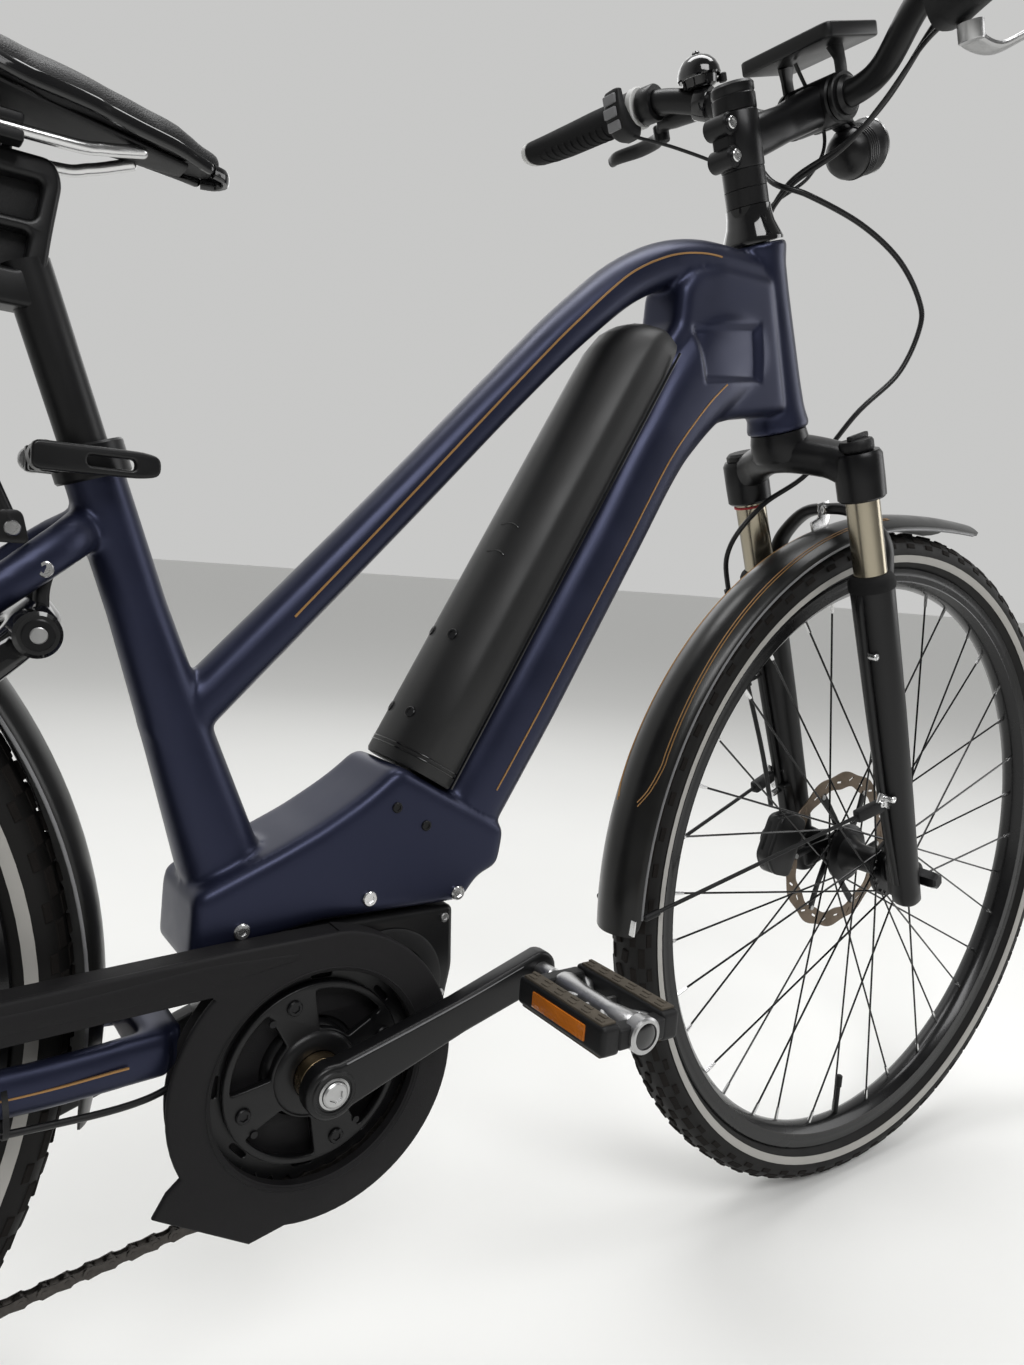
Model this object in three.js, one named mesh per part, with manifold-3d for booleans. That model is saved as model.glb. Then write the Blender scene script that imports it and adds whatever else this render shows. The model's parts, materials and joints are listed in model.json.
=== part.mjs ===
// A trekking bicycle with a mid motor, standing on its own side stand.
// Millimetres. +X is forward, +Y is the rider's left, +Z is up.
// While it is built, x = 0 is the bottom bracket; the last lines move the origin
// to the middle of the bounding box, on the ground.
import * as THREE from 'three';
import { mergeVertices } from 'three/addons/utils/BufferGeometryUtils.js';
import Module from 'manifold-3d';

// ---------------------------------------------------------------- driving dimensions

const WHEEL_RADIUS = 356;
const FRONT_AXLE_X = 668;
const REAR_AXLE_X = -496;
const BRACKET_HEIGHT = 297;
const HEAD_ANGLE = THREE.MathUtils.degToRad(69.4);
const SEAT_ANGLE = THREE.MathUtils.degToRad(70.9);
const FORK_OFFSET = 47;
const HEAD_TUBE_BOTTOM = 478;
const HEAD_TUBE_TOP = 639;
const HEAD_TUBE_RADIUS = 25;
const CRANK_LENGTH = 170;
const CRANK_ANGLE = THREE.MathUtils.degToRad(18.2);
const BAR_RADIUS = 11.2;
const POST_RADIUS = 13.6;
const STANCHION_RADIUS = 15;
const LEG_SPACING = 66;
const LEG_LEAD = 22;
const ROTOR_RADIUS = 90;
const FENDER_RADIUS = 373;
const CHAIN_LINE = -46;
const PITCH_CHAINRING = 77;
const PITCH_COG = 30.5;
const PITCH_PULLEY = 22;
const TENSION_PULLEY = [-465, 182];
const GUIDE_PULLEY = [-489, 282];
const GAP = 0.3;
const WHEEL_STEPS = 48;
const SPOKES = 24;
const RIM_REACH = 294.8;
const GUARD_RADIUS = 100;

// ---------------------------------------------------------------- solids by code

const wasm = await Module();
wasm.setup();
const point = (x, y, z) => new THREE.Vector3(x, y, z);

// A closed three.js geometry as a manifold-3d solid, so that it can be cut or joined.
function toSolid(geometry) {
  const bare = new THREE.BufferGeometry();
  bare.setAttribute('position', geometry.getAttribute('position').clone());
  if (geometry.index) bare.setIndex(geometry.index.clone());
  const merged = mergeVertices(bare, 1e-3);
  const corners = merged.index.array;
  const kept = [];
  for (let i = 0; i < corners.length; i += 3) {
    const [a, b, c] = [corners[i], corners[i + 1], corners[i + 2]];
    if (a !== b && b !== c && c !== a) kept.push(a, b, c);
  }
  const vertProperties = new Float32Array(merged.getAttribute('position').array);
  const triVerts = new Uint32Array(enclosed(vertProperties, kept) < 0 ? kept.reverse() : kept);
  const mesh = new wasm.Mesh({ numProp: 3, vertProperties, triVerts });
  mesh.merge();
  return new wasm.Manifold(mesh);
}

// The volume inside a closed set of triangles, negative if they face inwards.
function enclosed(places, corners) {
  const [a, b, c] = [point(), point(), point()];
  let volume = 0;
  for (let i = 0; i < corners.length; i += 3) {
    a.fromArray(places, 3 * corners[i]);
    b.fromArray(places, 3 * corners[i + 1]);
    c.fromArray(places, 3 * corners[i + 2]);
    volume += a.dot(b.cross(c)) / 6;
  }
  return volume;
}

function toGeometry(solid) {
  const mesh = solid.getMesh();
  const geometry = new THREE.BufferGeometry();
  geometry.setAttribute('position', new THREE.BufferAttribute(mesh.vertProperties, 3));
  geometry.setIndex(new THREE.BufferAttribute(mesh.triVerts, 1));
  geometry.computeVertexNormals();
  return geometry;
}

function join(first, ...others) {
  let solid = toSolid(first);
  for (const other of others) solid = solid.add(toSolid(other));
  return toGeometry(solid);
}

// Cuts the tools away and keeps the largest body that is left.
function cut(first, ...tools) {
  let solid = toSolid(first);
  for (const tool of tools) solid = solid.subtract(toSolid(tool));
  const bodies = solid.decompose().sort((a, b) => b.volume() - a.volume());
  return toGeometry(bodies[0]);
}

// ---------------------------------------------------------------- simple shapes

function box(x, y, z, centre, turn = 0) {
  return new THREE.BoxGeometry(x, y, z).rotateY(turn).translate(...centre);
}

// A round rod between two points, which may taper.
function rod(from, to, radius, sides = 12, endRadius = radius) {
  const span = to.clone().sub(from);
  const rodGeometry = new THREE.CylinderGeometry(endRadius, radius, span.length(), sides);
  const turn = new THREE.Quaternion().setFromUnitVectors(point(0, 1, 0), span.normalize());
  const middle = from.clone().add(to).multiplyScalar(0.5);
  return rodGeometry.applyQuaternion(turn).translate(middle.x, middle.y, middle.z);
}

// A round solid along Y between two values of y.
function pin(x, z, radius, yLow, yHigh, sides = 16) {
  return rod(point(x, yLow, z), point(x, yHigh, z), radius, sides);
}

// A tube, cable or wire of one radius along a smooth curve through the points.
function bentRod(points, radius, sides, steps) {
  const outline = new THREE.Shape();
  for (let i = 0; i < sides; i += 1) {
    const turn = (i / sides) * 2 * Math.PI;
    const corner = [radius * Math.cos(turn), radius * Math.sin(turn)];
    if (i === 0) outline.moveTo(...corner);
    else outline.lineTo(...corner);
  }
  outline.closePath();
  const extrudePath = new THREE.CatmullRomCurve3(points.map((p) => point(...p)), false, 'centripetal');
  return new THREE.ExtrudeGeometry(outline, { steps, extrudePath, curveSegments: 1 });
}

// A rounded tube of changing section along a curve in the mid plane of the bicycle.
// Each section is [half height in the plane, half width across, squareness].
function hull(points, sections, steps = 12, sides = 16) {
  const curve = new THREE.CatmullRomCurve3(points.map((p) => point(p[0], p[2] ?? 0, p[1])));
  const geometry = new THREE.CylinderGeometry(1, 1, 1, sides, steps);
  const position = geometry.getAttribute('position');
  const corner = new THREE.Vector3();
  const across = point(0, 1, 0);
  for (let i = 0; i < position.count; i += 1) {
    corner.fromBufferAttribute(position, i);
    const t = THREE.MathUtils.clamp(corner.y + 0.5, 0, 1);
    const place = t * (sections.length - 1);
    const low = Math.min(Math.floor(place), sections.length - 2);
    const mix = sections[low].map((v, k) => THREE.MathUtils.lerp(v, sections[low + 1][k], place - low));
    const squash = (v) => Math.sign(v) * Math.abs(v) ** (2 / mix[2]);
    const along = curve.getTangent(t);
    const upward = along.clone().cross(across).normalize();
    const spot = curve.getPoint(t);
    spot.addScaledVector(upward, squash(corner.x) * mix[0]);
    spot.addScaledVector(across, squash(corner.z) * mix[1]);
    position.setXYZ(i, spot.x, spot.y, spot.z);
  }
  return geometry;
}

// A round solid along the local Z axis, on that axis.
function upright(topRadius, footRadius, low, high, sides) {
  const solid = new THREE.CylinderGeometry(topRadius, footRadius, high - low, sides);
  return solid.rotateX(Math.PI / 2).translate(0, 0, (low + high) / 2);
}

// A flat plate or block: an outline in x and z, between two values of y, and its windows.
function plate(outline, yLow, yHigh, bevel = 0, windows = []) {
  const settings = { depth: yHigh - yLow - 2 * bevel, bevelEnabled: bevel > 0, bevelSegments: 1 };
  Object.assign(settings, { bevelThickness: bevel, bevelSize: bevel, bevelOffset: -bevel });
  const block = new THREE.ExtrudeGeometry(polygon(outline), settings);
  block.rotateX(Math.PI / 2).translate(0, yHigh - bevel, 0);
  return windows.length > 0 ? cut(block, ...windows.map((w) => plate(w, yLow - 1, yHigh + 1))) : block;
}

function polygon(points) {
  return new THREE.Shape(points.map((p) => new THREE.Vector2(p[0], p[1])));
}

// Points on an arc, angles in degrees from +X towards +Z.
function arc(x, z, radius, from, to, steps) {
  const points = [];
  for (let i = 0; i <= steps; i += 1) {
    const turn = THREE.MathUtils.degToRad(from + ((to - from) * i) / steps);
    points.push([x + radius * Math.cos(turn), z + radius * Math.sin(turn)]);
  }
  return points;
}

// A ring or wheel part: a closed profile of [radius, y] turned about the axle.
// A flat of the faceted ring lies at the bottom.
function turned(profile, steps = WHEEL_STEPS) {
  const closed = [...profile, profile[0]].map((p) => new THREE.Vector2(p[0], p[1]));
  return new THREE.LatheGeometry(closed, steps).rotateY(Math.PI / steps);
}

// A solid turned body about Y: profile from the axis and back to it.
function spun(profile, steps = 20) {
  return new THREE.LatheGeometry(profile.map((p) => new THREE.Vector2(p[0], p[1])), steps);
}

// ---------------------------------------------------------------- colours and groups

const bike = new THREE.Group();
// Steering parts stand in their own frame: +Z is the steering axis, +X is forward of it
// and the origin is level with the axle's foot on that axis.
const steering = new THREE.Group();
steering.position.set(
  FRONT_AXLE_X - FORK_OFFSET * Math.sin(HEAD_ANGLE), 0, WHEEL_RADIUS - FORK_OFFSET * Math.cos(HEAD_ANGLE),
);
steering.rotation.y = HEAD_ANGLE - Math.PI / 2;
const frontWheel = new THREE.Group();
frontWheel.position.set(FRONT_AXLE_X, 0, WHEEL_RADIUS);
const rearWheel = new THREE.Group();
rearWheel.position.set(REAR_AXLE_X, 0, WHEEL_RADIUS);
const bracket = new THREE.Group();
bracket.position.set(0, 0, BRACKET_HEIGHT);
bike.add(steering, frontWheel, rearWheel, bracket);

const FINISH = {
  navy: [0x232c46, 0.45, 0.3], black: [0x141416, 0.5, 0.2], battery: [0x1a1a1b, 0.55, 0.0],
  plastic: [0x18181a, 0.6, 0.0], guard: [0x2b2b2e, 0.8, 0.0], rubber: [0x1c1b1a, 0.9, 0.0],
  steel: [0xb8bbbd, 0.3, 1.0], rotor: [0x6f665c, 0.4, 1.0], hose: [0x101011, 0.4, 0.0],
  chain: [0x3a3733, 0.5, 0.9], fender: [0x3a3532, 0.4, 0.5], grip: [0x1b1b1c, 0.85, 0.0],
  gloss: [0x0b0b0c, 0.12, 0.1], saddle: [0x151516, 0.55, 0.0],
};

function add(name, finish, geometry, parent = bike) {
  const [color, roughness, metalness] = FINISH[finish];
  const material = new THREE.MeshStandardMaterial({ color, roughness, metalness });
  const mesh = new THREE.Mesh(toGeometry(toSolid(geometry)), material);
  mesh.name = name;
  parent.add(mesh);
  return mesh;
}

// A point of the steering frame given in the bicycle's own frame.
function steered(a, y, s) {
  return [
    steering.position.x + a * Math.sin(HEAD_ANGLE) - s * Math.cos(HEAD_ANGLE),
    y,
    steering.position.z + a * Math.cos(HEAD_ANGLE) + s * Math.sin(HEAD_ANGLE),
  ];
}

// A point up the seat tube: distance t from the bottom bracket, offset forward and across.
function seated(t, forward = 0, y = 0) {
  return [
    -6 - t * Math.cos(SEAT_ANGLE) + forward * Math.sin(SEAT_ANGLE),
    y,
    BRACKET_HEIGHT + t * Math.sin(SEAT_ANGLE) + forward * Math.cos(SEAT_ANGLE),
  ];
}

// A point of the down tube: distance s along it, height c above its lower datum line.
const DOWN_ANGLE = THREE.MathUtils.degToRad(61.3);
function down(s, c) {
  return [
    s * Math.cos(DOWN_ANGLE) - c * Math.sin(DOWN_ANGLE),
    s * Math.sin(DOWN_ANGLE) + c * Math.cos(DOWN_ANGLE),
  ];
}

// ---------------------------------------------------------------- frame

const SEAT_TUBE_TOP = 416;
const SEAT_TUBE_FOOT = 146;
const DOWN_TUBE_FOOT = 468;
const BATTERY_SEAT = 140;
const BATTERY_TOP = 192;
const BATTERY_END = 866;
const headFoot = point(...steered(0, 0, HEAD_TUBE_BOTTOM));
const headTop = point(...steered(0, 0, HEAD_TUBE_TOP));
const headAxis = headTop.clone().sub(headFoot).normalize();

function headRod(radius, low, high, sides = 24) {
  const from = headFoot.clone().addScaledVector(headAxis, low - HEAD_TUBE_BOTTOM);
  const to = headFoot.clone().addScaledVector(headAxis, high - HEAD_TUBE_BOTTOM);
  return rod(from, to, radius, sides);
}

function seatRod(radius, low, high, sides = 20) {
  return rod(point(...seated(low)), point(...seated(high)), radius, sides);
}

function makeHeadTube() {
  const outer = headRod(HEAD_TUBE_RADIUS, HEAD_TUBE_BOTTOM, HEAD_TUBE_TOP);
  return cut(outer, headRod(17, HEAD_TUBE_BOTTOM - 5, HEAD_TUBE_TOP + 5));
}

// The outside of the seat tube. Grown, it is the space that its neighbours leave for it.
function seatTubeBlock(grown = 0) {
  const heights = [SEAT_TUBE_FOOT - (grown > 0 ? GAP : 0), 230, 320, SEAT_TUBE_TOP];
  const centre = heights.map((t) => [seated(t)[0], seated(t)[2]]);
  const sections = [[27, 26, 2.2], [22, 22, 2], [18, 18.5, 2], [17.5, 17.5, 2]];
  return hull(centre, sections.map(([h, w, n]) => [h + grown, w + grown, n]), 6, 16);
}

function makeSeatTube() {
  const postBore = seatRod(POST_RADIUS + GAP, SEAT_TUBE_FOOT + 8, SEAT_TUBE_TOP + 10);
  return cut(seatTubeBlock(), postBore);
}

// The head of the frame, where the down tube spreads into a deep gusset behind the head tube.
function gussetOutline() {
  return [
    down(835, 78), [354, 777], [378, 785], [422, 794], [440, 800], steeredPair(-10, 620), [372, 908],
    [340, 903], [308, 893], [296, 876], [296, 850], down(BATTERY_END + 4, 150), down(835, 134),
  ];
}

function steeredPair(a, s) {
  const [x, , z] = steered(a, 0, s);
  return [x, z];
}

function makeDownTube(headClear) {
  const centre = [
    down(DOWN_TUBE_FOOT, 109), down(560, 109), down(700, 109), down(800, 109), [344, 822], [402, 852],
  ];
  const sections = [
    [31, 36, 3], [31, 39, 3.4], [31, 39, 3.4], [33, 38, 3.4], [46, 34, 3], [58, 27, 2.6],
  ];
  const tube = hull(centre, sections, 10, 16);
  const gusset = plate(gussetOutline(), -27, 27, 7);
  return cut(join(tube, gusset), headClear, makeBattery(0.8));
}

function makeTopTube(seatClear, headClear, downTube) {
  const centre = [
    [-96, 515], [-5, 610], [66, 685], [144, 769], [205, 832], [262, 880], [320, 904], [398, 908],
  ];
  const sections = [
    [17, 18, 2], [16, 18, 2], [16, 18, 2], [16, 19, 2.2],
    [17, 20, 2.4], [18, 21, 2.4], [19, 23, 2.4], [22, 23, 2.2],
  ];
  const tube = hull(centre, sections, 11, 12);
  return cut(tube, seatClear, headClear, downTube);
}

function makeCradle(seatClear) {
  const outline = [
    [-82, 372], [-80, 424], [-24, 448], [3, 461], [25, 474], [40, 484], down(DOWN_TUBE_FOOT - 1, 188),
    down(DOWN_TUBE_FOOT - 1, 80), [150, 417], [132, 411], [120, 394], [5, 394], [-56, 384],
  ];
  return cut(plate(outline, -39, 39, 7), seatClear, makeMotor().translate(0, 0, 0.5), makeMotor());
}

function makeFrame() {
  const headClear = headRod(HEAD_TUBE_RADIUS + GAP, HEAD_TUBE_BOTTOM - 60, HEAD_TUBE_TOP + 60);
  const seatClear = seatTubeBlock(0.4);
  const downTube = makeDownTube(headClear);
  add('head_tube', 'navy', makeHeadTube());
  add('seat_tube', 'navy', makeSeatTube());
  add('down_tube', 'navy', downTube);
  const grown = downTube.clone().translate(-0.25, 0, 0.35);
  add('top_tube', 'navy', cut(makeTopTube(seatClear, headClear, downTube), grown));
  add('motor_cradle', 'navy', makeCradle(seatClear));
}

// Both stays leave one yoke behind the motor and run to the axle plates.
function makeChainstays() {
  const parts = [box(26, 84, 30, [-98, 0, 330])];
  for (const side of [-1, 1]) {
    const points = [
      [-96, 329, side * 40], [-187, 327, side * 46], [-330, 337, side * 58], [-470, 350, side * 70.5],
    ];
    parts.push(hull(points, [[16, 8, 2.4], [15, 7.5, 2.4], [13, 7.5, 2.2], [11, 4, 2.2]], 5, 10));
    const axlePlate = [
      [-440, 342], [-455, 332], [-500, 334], [-518, 350],
      [-514, 378], [-492, 392], [-462, 392], [-452, 372],
    ];
    parts.push(plate(axlePlate, side * 70.5 - 3.5, side * 70.5 + 3.5));
  }
  const bar = box(20, 16, 34, [-412, 72, 333]);
  const axleHoles = pin(REAR_AXLE_X, WHEEL_RADIUS, 6.6, -90, 90);
  return cut(join(...parts, bar), axleHoles);
}

function makeSeatstays() {
  const parts = [];
  for (const side of [-1, 1]) {
    const points = [
      [-142, 646, side * 6], [-172, 624, side * 30], [-300, 522, side * 46], [-458, 398, side * 70.5],
    ];
    parts.push(hull(points, [[13, 10, 2], [12, 9, 2], [9, 8, 2], [8, 4, 2]], 5, 10));
  }
  const seatClear = seatRod(18.5 + GAP, 250, SEAT_TUBE_TOP);
  return cut(join(...parts), seatClear);
}

function makeMotor() {
  const outline = [
    [-52, 392], [112, 392], [115, 345], [110, 318], ...arc(52, 318, 56, -10, -70, 4),
    ...arc(0, BRACKET_HEIGHT, 50, -70, -180, 6), [-58, 330], [-64, 368],
  ];
  const housing = plate(outline, -36, 48, 6);
  const shell = pin(0, BRACKET_HEIGHT, 30, -40, 56, 20);
  return cut(join(housing, shell), pin(0, BRACKET_HEIGHT, 12.8, -80, 80));
}

// The battery lies in the upper side of the down tube. Grown, it is the bed cut for it.
function makeBattery(grown = 0) {
  const start = DOWN_TUBE_FOOT + 1 - 10 * Math.sign(grown);
  const level = (BATTERY_SEAT + BATTERY_TOP) / 2;
  const half = (BATTERY_TOP - BATTERY_SEAT) / 2 + grown;
  const end = down(BATTERY_END + grown, level - 8);
  const centre = [down(start, level), down(650, level), down(820, level - 1), end];
  const body = [half, 35 + grown, 3.2];
  return hull(centre, [body, body, body, [half - 8, 28 + grown, 3]], 8, 16);
}

function makeSeatClamp() {
  const [x, , z] = seated(408);
  const ears = box(16, 18, 16, [x - 25, 0, z - 9], Math.PI / 2 - SEAT_ANGLE);
  const tubeClear = seatRod(18.2, 380, SEAT_TUBE_TOP + 0.4, 16);
  return cut(join(seatRod(22, 400, 420, 16), ears), tubeClear, seatRod(POST_RADIUS + 0.4, 380, 440, 14));
}

// ---------------------------------------------------------------- wheels

function makeTyre() {
  const flat = WHEEL_RADIUS / Math.cos(Math.PI / WHEEL_STEPS);
  const shrink = flat / WHEEL_RADIUS;
  const half = [[356, 14], [347, 21.5], [334, 23.5], [318, 15]];
  const upper = half.map(([r, y]) => [r * shrink, y]);
  const lower = half.map(([r, y]) => [r * shrink, -y]).reverse();
  return turned([...upper, ...lower]);
}

function makeRim() {
  return turned([[316.8, 12.5], [316.8, -12.5], [305, -12], [297, -5], [297, 5], [305, 12]], 36);
}

// Hub shell with its flanges, and the spokes crossing from the flanges to the rim.
function makeLacedHub(flangeLow, flangeHigh, shellLow, shellHigh) {
  const shell = [
    [0, shellLow], [14, shellLow], [14, flangeLow - 3], [32, flangeLow - 3], [32, flangeLow + 1],
    [17, flangeLow + 5], [17, flangeHigh - 5], [32, flangeHigh - 1], [32, flangeHigh + 3],
    [14, flangeHigh + 3], [14, shellHigh], [0, shellHigh],
  ];
  const parts = [spun(shell, 14)];
  for (let i = 0; i < SPOKES; i += 1) {
    const trailing = Math.floor(i / 2) % 2 === 0 ? 1 : -1;
    const rimTurn = (i / SPOKES) * 2 * Math.PI;
    const footTurn = rimTurn + trailing * THREE.MathUtils.degToRad(62);
    const flange = i % 2 === 0 ? flangeLow - 1 : flangeHigh + 1;
    const foot = point(28 * Math.cos(footTurn), flange + trailing * 1.4, 28 * Math.sin(footTurn));
    const tipAcross = Math.sign(flange) * 3 + trailing;
    const tip = point(RIM_REACH * Math.cos(rimTurn), tipAcross, RIM_REACH * Math.sin(rimTurn));
    parts.push(rod(foot, tip, 1.3, 3));
  }
  return cut(join(...parts), pin(0, 0, 7.2, -90, 90, 8));
}

function makeRotor(y, bore) {
  const disc = arc(0, 0, ROTOR_RADIUS, 0, 345, 23);
  const holes = [];
  for (let i = 0; i < 6; i += 1) {
    const inner = arc(0, 0, 31, i * 60 + 12, i * 60 + 48, 2);
    const outer = arc(0, 0, 73, i * 60 + 40, i * 60 + 4, 3);
    holes.push([...inner, ...outer]);
  }
  const ring = plate(disc, y - 0.9, y + 0.9, 0, holes);
  return cut(ring, pin(0, 0, bore, y - 10, y + 10, 14));
}

function makeCassette() {
  const profile = [[16, -27]];
  const cogs = [60, 51, 42];
  cogs.forEach((radius, i) => {
    const y = -29 - i * 5;
    profile.push([radius, y + 0.9], [radius, y - 0.9], [22, y - 1], [22, y - 3.2]);
  });
  profile.push([24.6, -44], [24.6, -48], [20, -63], [16, -65]);
  return turned(profile, 18);
}

function makeWheels() {
  add('front_tyre', 'rubber', makeTyre(), frontWheel);
  add('front_rim', 'black', makeRim(), frontWheel);
  add('front_hub', 'black', makeLacedHub(-30, 24, -46, 46), frontWheel);
  add('front_rotor', 'rotor', makeRotor(36, 14.4), frontWheel);
  add('rear_tyre', 'rubber', makeTyre(), rearWheel);
  add('rear_rim', 'black', makeRim(), rearWheel);
  const rearHub = join(makeLacedHub(-19, 31, -66, 66), makeRotor(44, 10));
  add('rear_hub', 'black', rearHub, rearWheel);
  add('cassette', 'steel', makeCassette(), rearWheel);
}

// ---------------------------------------------------------------- drive

// The loop of a chain round toothed wheels, given in the order in which it runs.
// turn is -1 for a wheel that it passes clockwise and +1 for the other way.
function chainLoop(wheels, offset) {
  const points = [];
  const tangents = wheels.map((a, i) => {
    const b = wheels[(i + 1) % wheels.length];
    const [dx, dz] = [b.x - a.x, b.z - a.z];
    const heading = Math.atan2(dz, dx);
    const ra = a.turn * (a.r + a.turn * offset * -1);
    const rb = b.turn * (b.r + b.turn * offset * -1);
    const swing = Math.asin((ra - rb) / Math.hypot(dx, dz));
    return heading + swing;
  });
  wheels.forEach((wheel, i) => {
    const radius = wheel.r - wheel.turn * offset;
    const arriving = tangents[(i + wheels.length - 1) % wheels.length];
    const leaving = tangents[i];
    const start = arriving - (wheel.turn * Math.PI) / 2;
    let sweep = (leaving - arriving) * wheel.turn;
    while (sweep < 0) sweep += 2 * Math.PI;
    while (sweep > 2 * Math.PI) sweep -= 2 * Math.PI;
    const steps = Math.max(3, Math.round((sweep * radius) / 16));
    for (let k = 0; k <= steps; k += 1) {
      const angle = start + (wheel.turn * sweep * k) / steps;
      points.push([wheel.x + radius * Math.cos(angle), wheel.z + radius * Math.sin(angle)]);
    }
  });
  return points;
}

function makeChain() {
  const wheels = [
    { x: 0, z: BRACKET_HEIGHT, r: PITCH_CHAINRING, turn: -1 },
    { x: TENSION_PULLEY[0], z: TENSION_PULLEY[1], r: PITCH_PULLEY, turn: -1 },
    { x: GUIDE_PULLEY[0], z: GUIDE_PULLEY[1], r: PITCH_PULLEY, turn: 1 },
    { x: REAR_AXLE_X, z: WHEEL_RADIUS, r: PITCH_COG, turn: -1 },
  ];
  const outer = chainLoop(wheels, 4.2);
  const inner = chainLoop(wheels, -4);
  return plate(outer, CHAIN_LINE - 2.8, CHAIN_LINE + 2.8, 0, [inner]);
}

function makeChainring() {
  const holes = [];
  for (let i = 0; i < 4; i += 1) {
    const middle = 109.4 + i * 90 + 45;
    const inner = arc(0, 0, 27, middle - 22, middle + 22, 3);
    holes.push([...inner, ...arc(0, 0, 60, middle + 32, middle - 32, 6)]);
  }
  const disc = plate(arc(0, 0, 72, 0, 350, 35), CHAIN_LINE - 2, CHAIN_LINE + 2, 0, holes);
  return cut(disc, pin(0, 0, 12.3, -80, 0, 16));
}

// One arm, along +X from the spindle, with the pedal's own spindle screwed into its eye.
function makeCrank(side, angle) {
  const eye = { x: CRANK_LENGTH, r: 14 };
  const outline = [...arc(0, 0, 18, 82, 278, 8), ...arc(eye.x, 0, eye.r, -82, 82, 6)];
  const [near, far] = [67.8, 83];
  const arm = plate(outline, side < 0 ? -far : near, side < 0 ? -near : far, 2);
  const spindle = pin(eye.x, 0, 5, Math.min(side * 70, side * 190), Math.max(side * 70, side * 190), 12);
  return join(arm, spindle).rotateY(-angle);
}

function makePedal(side) {
  const outline = [[-33, -40], [-25, -48], [25, -48], [33, -40], [33, 40], [25, 48], [-25, 48], [-33, 40]];
  const windows = [-1, 1].map((s) => [[s * 12, -38], [s * 22, -38], [s * 22, 38], [s * 12, 38]]);
  const cage = plate(outline, -11, 11, 2, windows).rotateX(-Math.PI / 2);
  const barrel = pin(0, 0, 11, -54, 50, 12);
  const bore = pin(0, 0, 5 + GAP + 0.2, -60, 44.5, 12);
  const pedal = cut(join(cage, barrel), bore);
  return side < 0 ? pedal.rotateZ(Math.PI).translate(0, -146, 0) : pedal.translate(0, 146, 0);
}

// A ring round the chainring with a cover over the upper run of the chain.
function makeChainGuard() {
  const [x, z] = [0, BRACKET_HEIGHT];
  const ring = arc(x, z, GUARD_RADIUS, 0, 348, 29);
  const crest = [[10, 396], [-60, 394], [-190, 387], [-330, 389]];
  const cover = [...crest, [-338, 380], [-334, 368], [-190, 361], [-50, 368]];
  const tail = [[-98, 246], [-106, 232], [-44, 194], [-18, 200], [-30, 240]];
  const skin = [ring, cover, tail].map((outline) => plate(outline, -62, -56));
  const lip = cut(
    plate(ring, -61, -39.6), pin(x, z, GUARD_RADIUS - 3.5, -90, 0, 30),
    box(130, 60, 150, [x - 88, -50, z + 10]), box(120, 60, 60, [x - 60, -50, z - 88]),
  );
  const roof = plate([...crest, [-330, 392], [-190, 390], [-60, 397], [6, 399]], -61, -39.6);
  return cut(join(...skin, lip, roof), pin(x, z, 72, -90, 0, 28));
}

function makeDerailleur() {
  const hanger = plate([[-506, 333], [-486, 333], [-484, 312], [-496, 306], [-508, 312]], -82, -75);
  const body = [[-512, 324], [-496, 330], [-476, 306], [-474, 290], [-486, 268], [-502, 268], [-508, 290]];
  return join(hanger, plate(body, -82, -62, 3));
}

// The pivoting cage, with its two pulleys between its plates.
function makeDerailleurCage() {
  const [gx, gz] = GUIDE_PULLEY;
  const [tx, tz] = TENSION_PULLEY;
  const outline = [...arc(gx, gz, 15, 14, 194, 4), ...arc(tx, tz, 14, 194, 374, 4)];
  const plates = [plate(outline, -54.5, -52), plate(outline, -40, -37.5)];
  const pulleys = [pin(gx, gz, 17, -47.4, -44.6, 12), pin(tx, tz, 17, -47.4, -44.6, 12)];
  const pivots = [pin(gx, gz, 4, -61.4, -38, 6), pin(tx, tz, 4, -54, -38, 6)];
  return join(...plates, ...pulleys, ...pivots);
}

function makeDrive() {
  add('motor_unit', 'black', makeMotor());
  add('chainring', 'black', makeChainring(), bracket);
  add('crank_right', 'black', makeCrank(-1, CRANK_ANGLE), bracket);
  const leftArm = makeCrank(1, CRANK_ANGLE + Math.PI);
  add('crank_left', 'black', join(leftArm, pin(0, 0, 12, -67.5, 75, 16)), bracket);
  for (const side of [-1, 1]) {
    const pedal = add(side < 0 ? 'pedal_right' : 'pedal_left', 'rubber', makePedal(side), bracket);
    const reach = -side * CRANK_LENGTH;
    pedal.position.set(reach * Math.cos(CRANK_ANGLE), 0, reach * Math.sin(CRANK_ANGLE));
  }
  add('chain_guard', 'guard', makeChainGuard());
  add('chain', 'chain', makeChain());
  add('rear_derailleur', 'black', makeDerailleur());
  add('derailleur_cage', 'black', makeDerailleurCage());
}

// ---------------------------------------------------------------- fork

const ARCH_HEIGHT = 385;
const LEG_TOP = 331;
const KNOB_SEAT = 450;

function makeForkCrown() {
  const path = [[LEG_LEAD, -66, 430], [16, -42, 446], [3, 0, 459], [16, 42, 446], [LEG_LEAD, 66, 430]];
  const parts = [bentRod(path, 19, 8, 6), upright(25, 25, 450, 477.7, 16), upright(14.3, 14.3, 470, 762, 16)];
  for (const side of [-1, 1]) {
    const y = side * LEG_SPACING;
    parts.push(rod(point(LEG_LEAD, y, 407), point(LEG_LEAD, y, 450), 21, 14));
    parts.push(rod(point(LEG_LEAD, y, 262), point(LEG_LEAD, y, 420), STANCHION_RADIUS, 14));
  }
  const seats = [-1, 1].map((side) => {
    const y = side * LEG_SPACING;
    return rod(point(LEG_LEAD, y, KNOB_SEAT), point(LEG_LEAD, y, KNOB_SEAT + 40), 15.5, 14);
  });
  return cut(join(...parts), ...seats);
}

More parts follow.
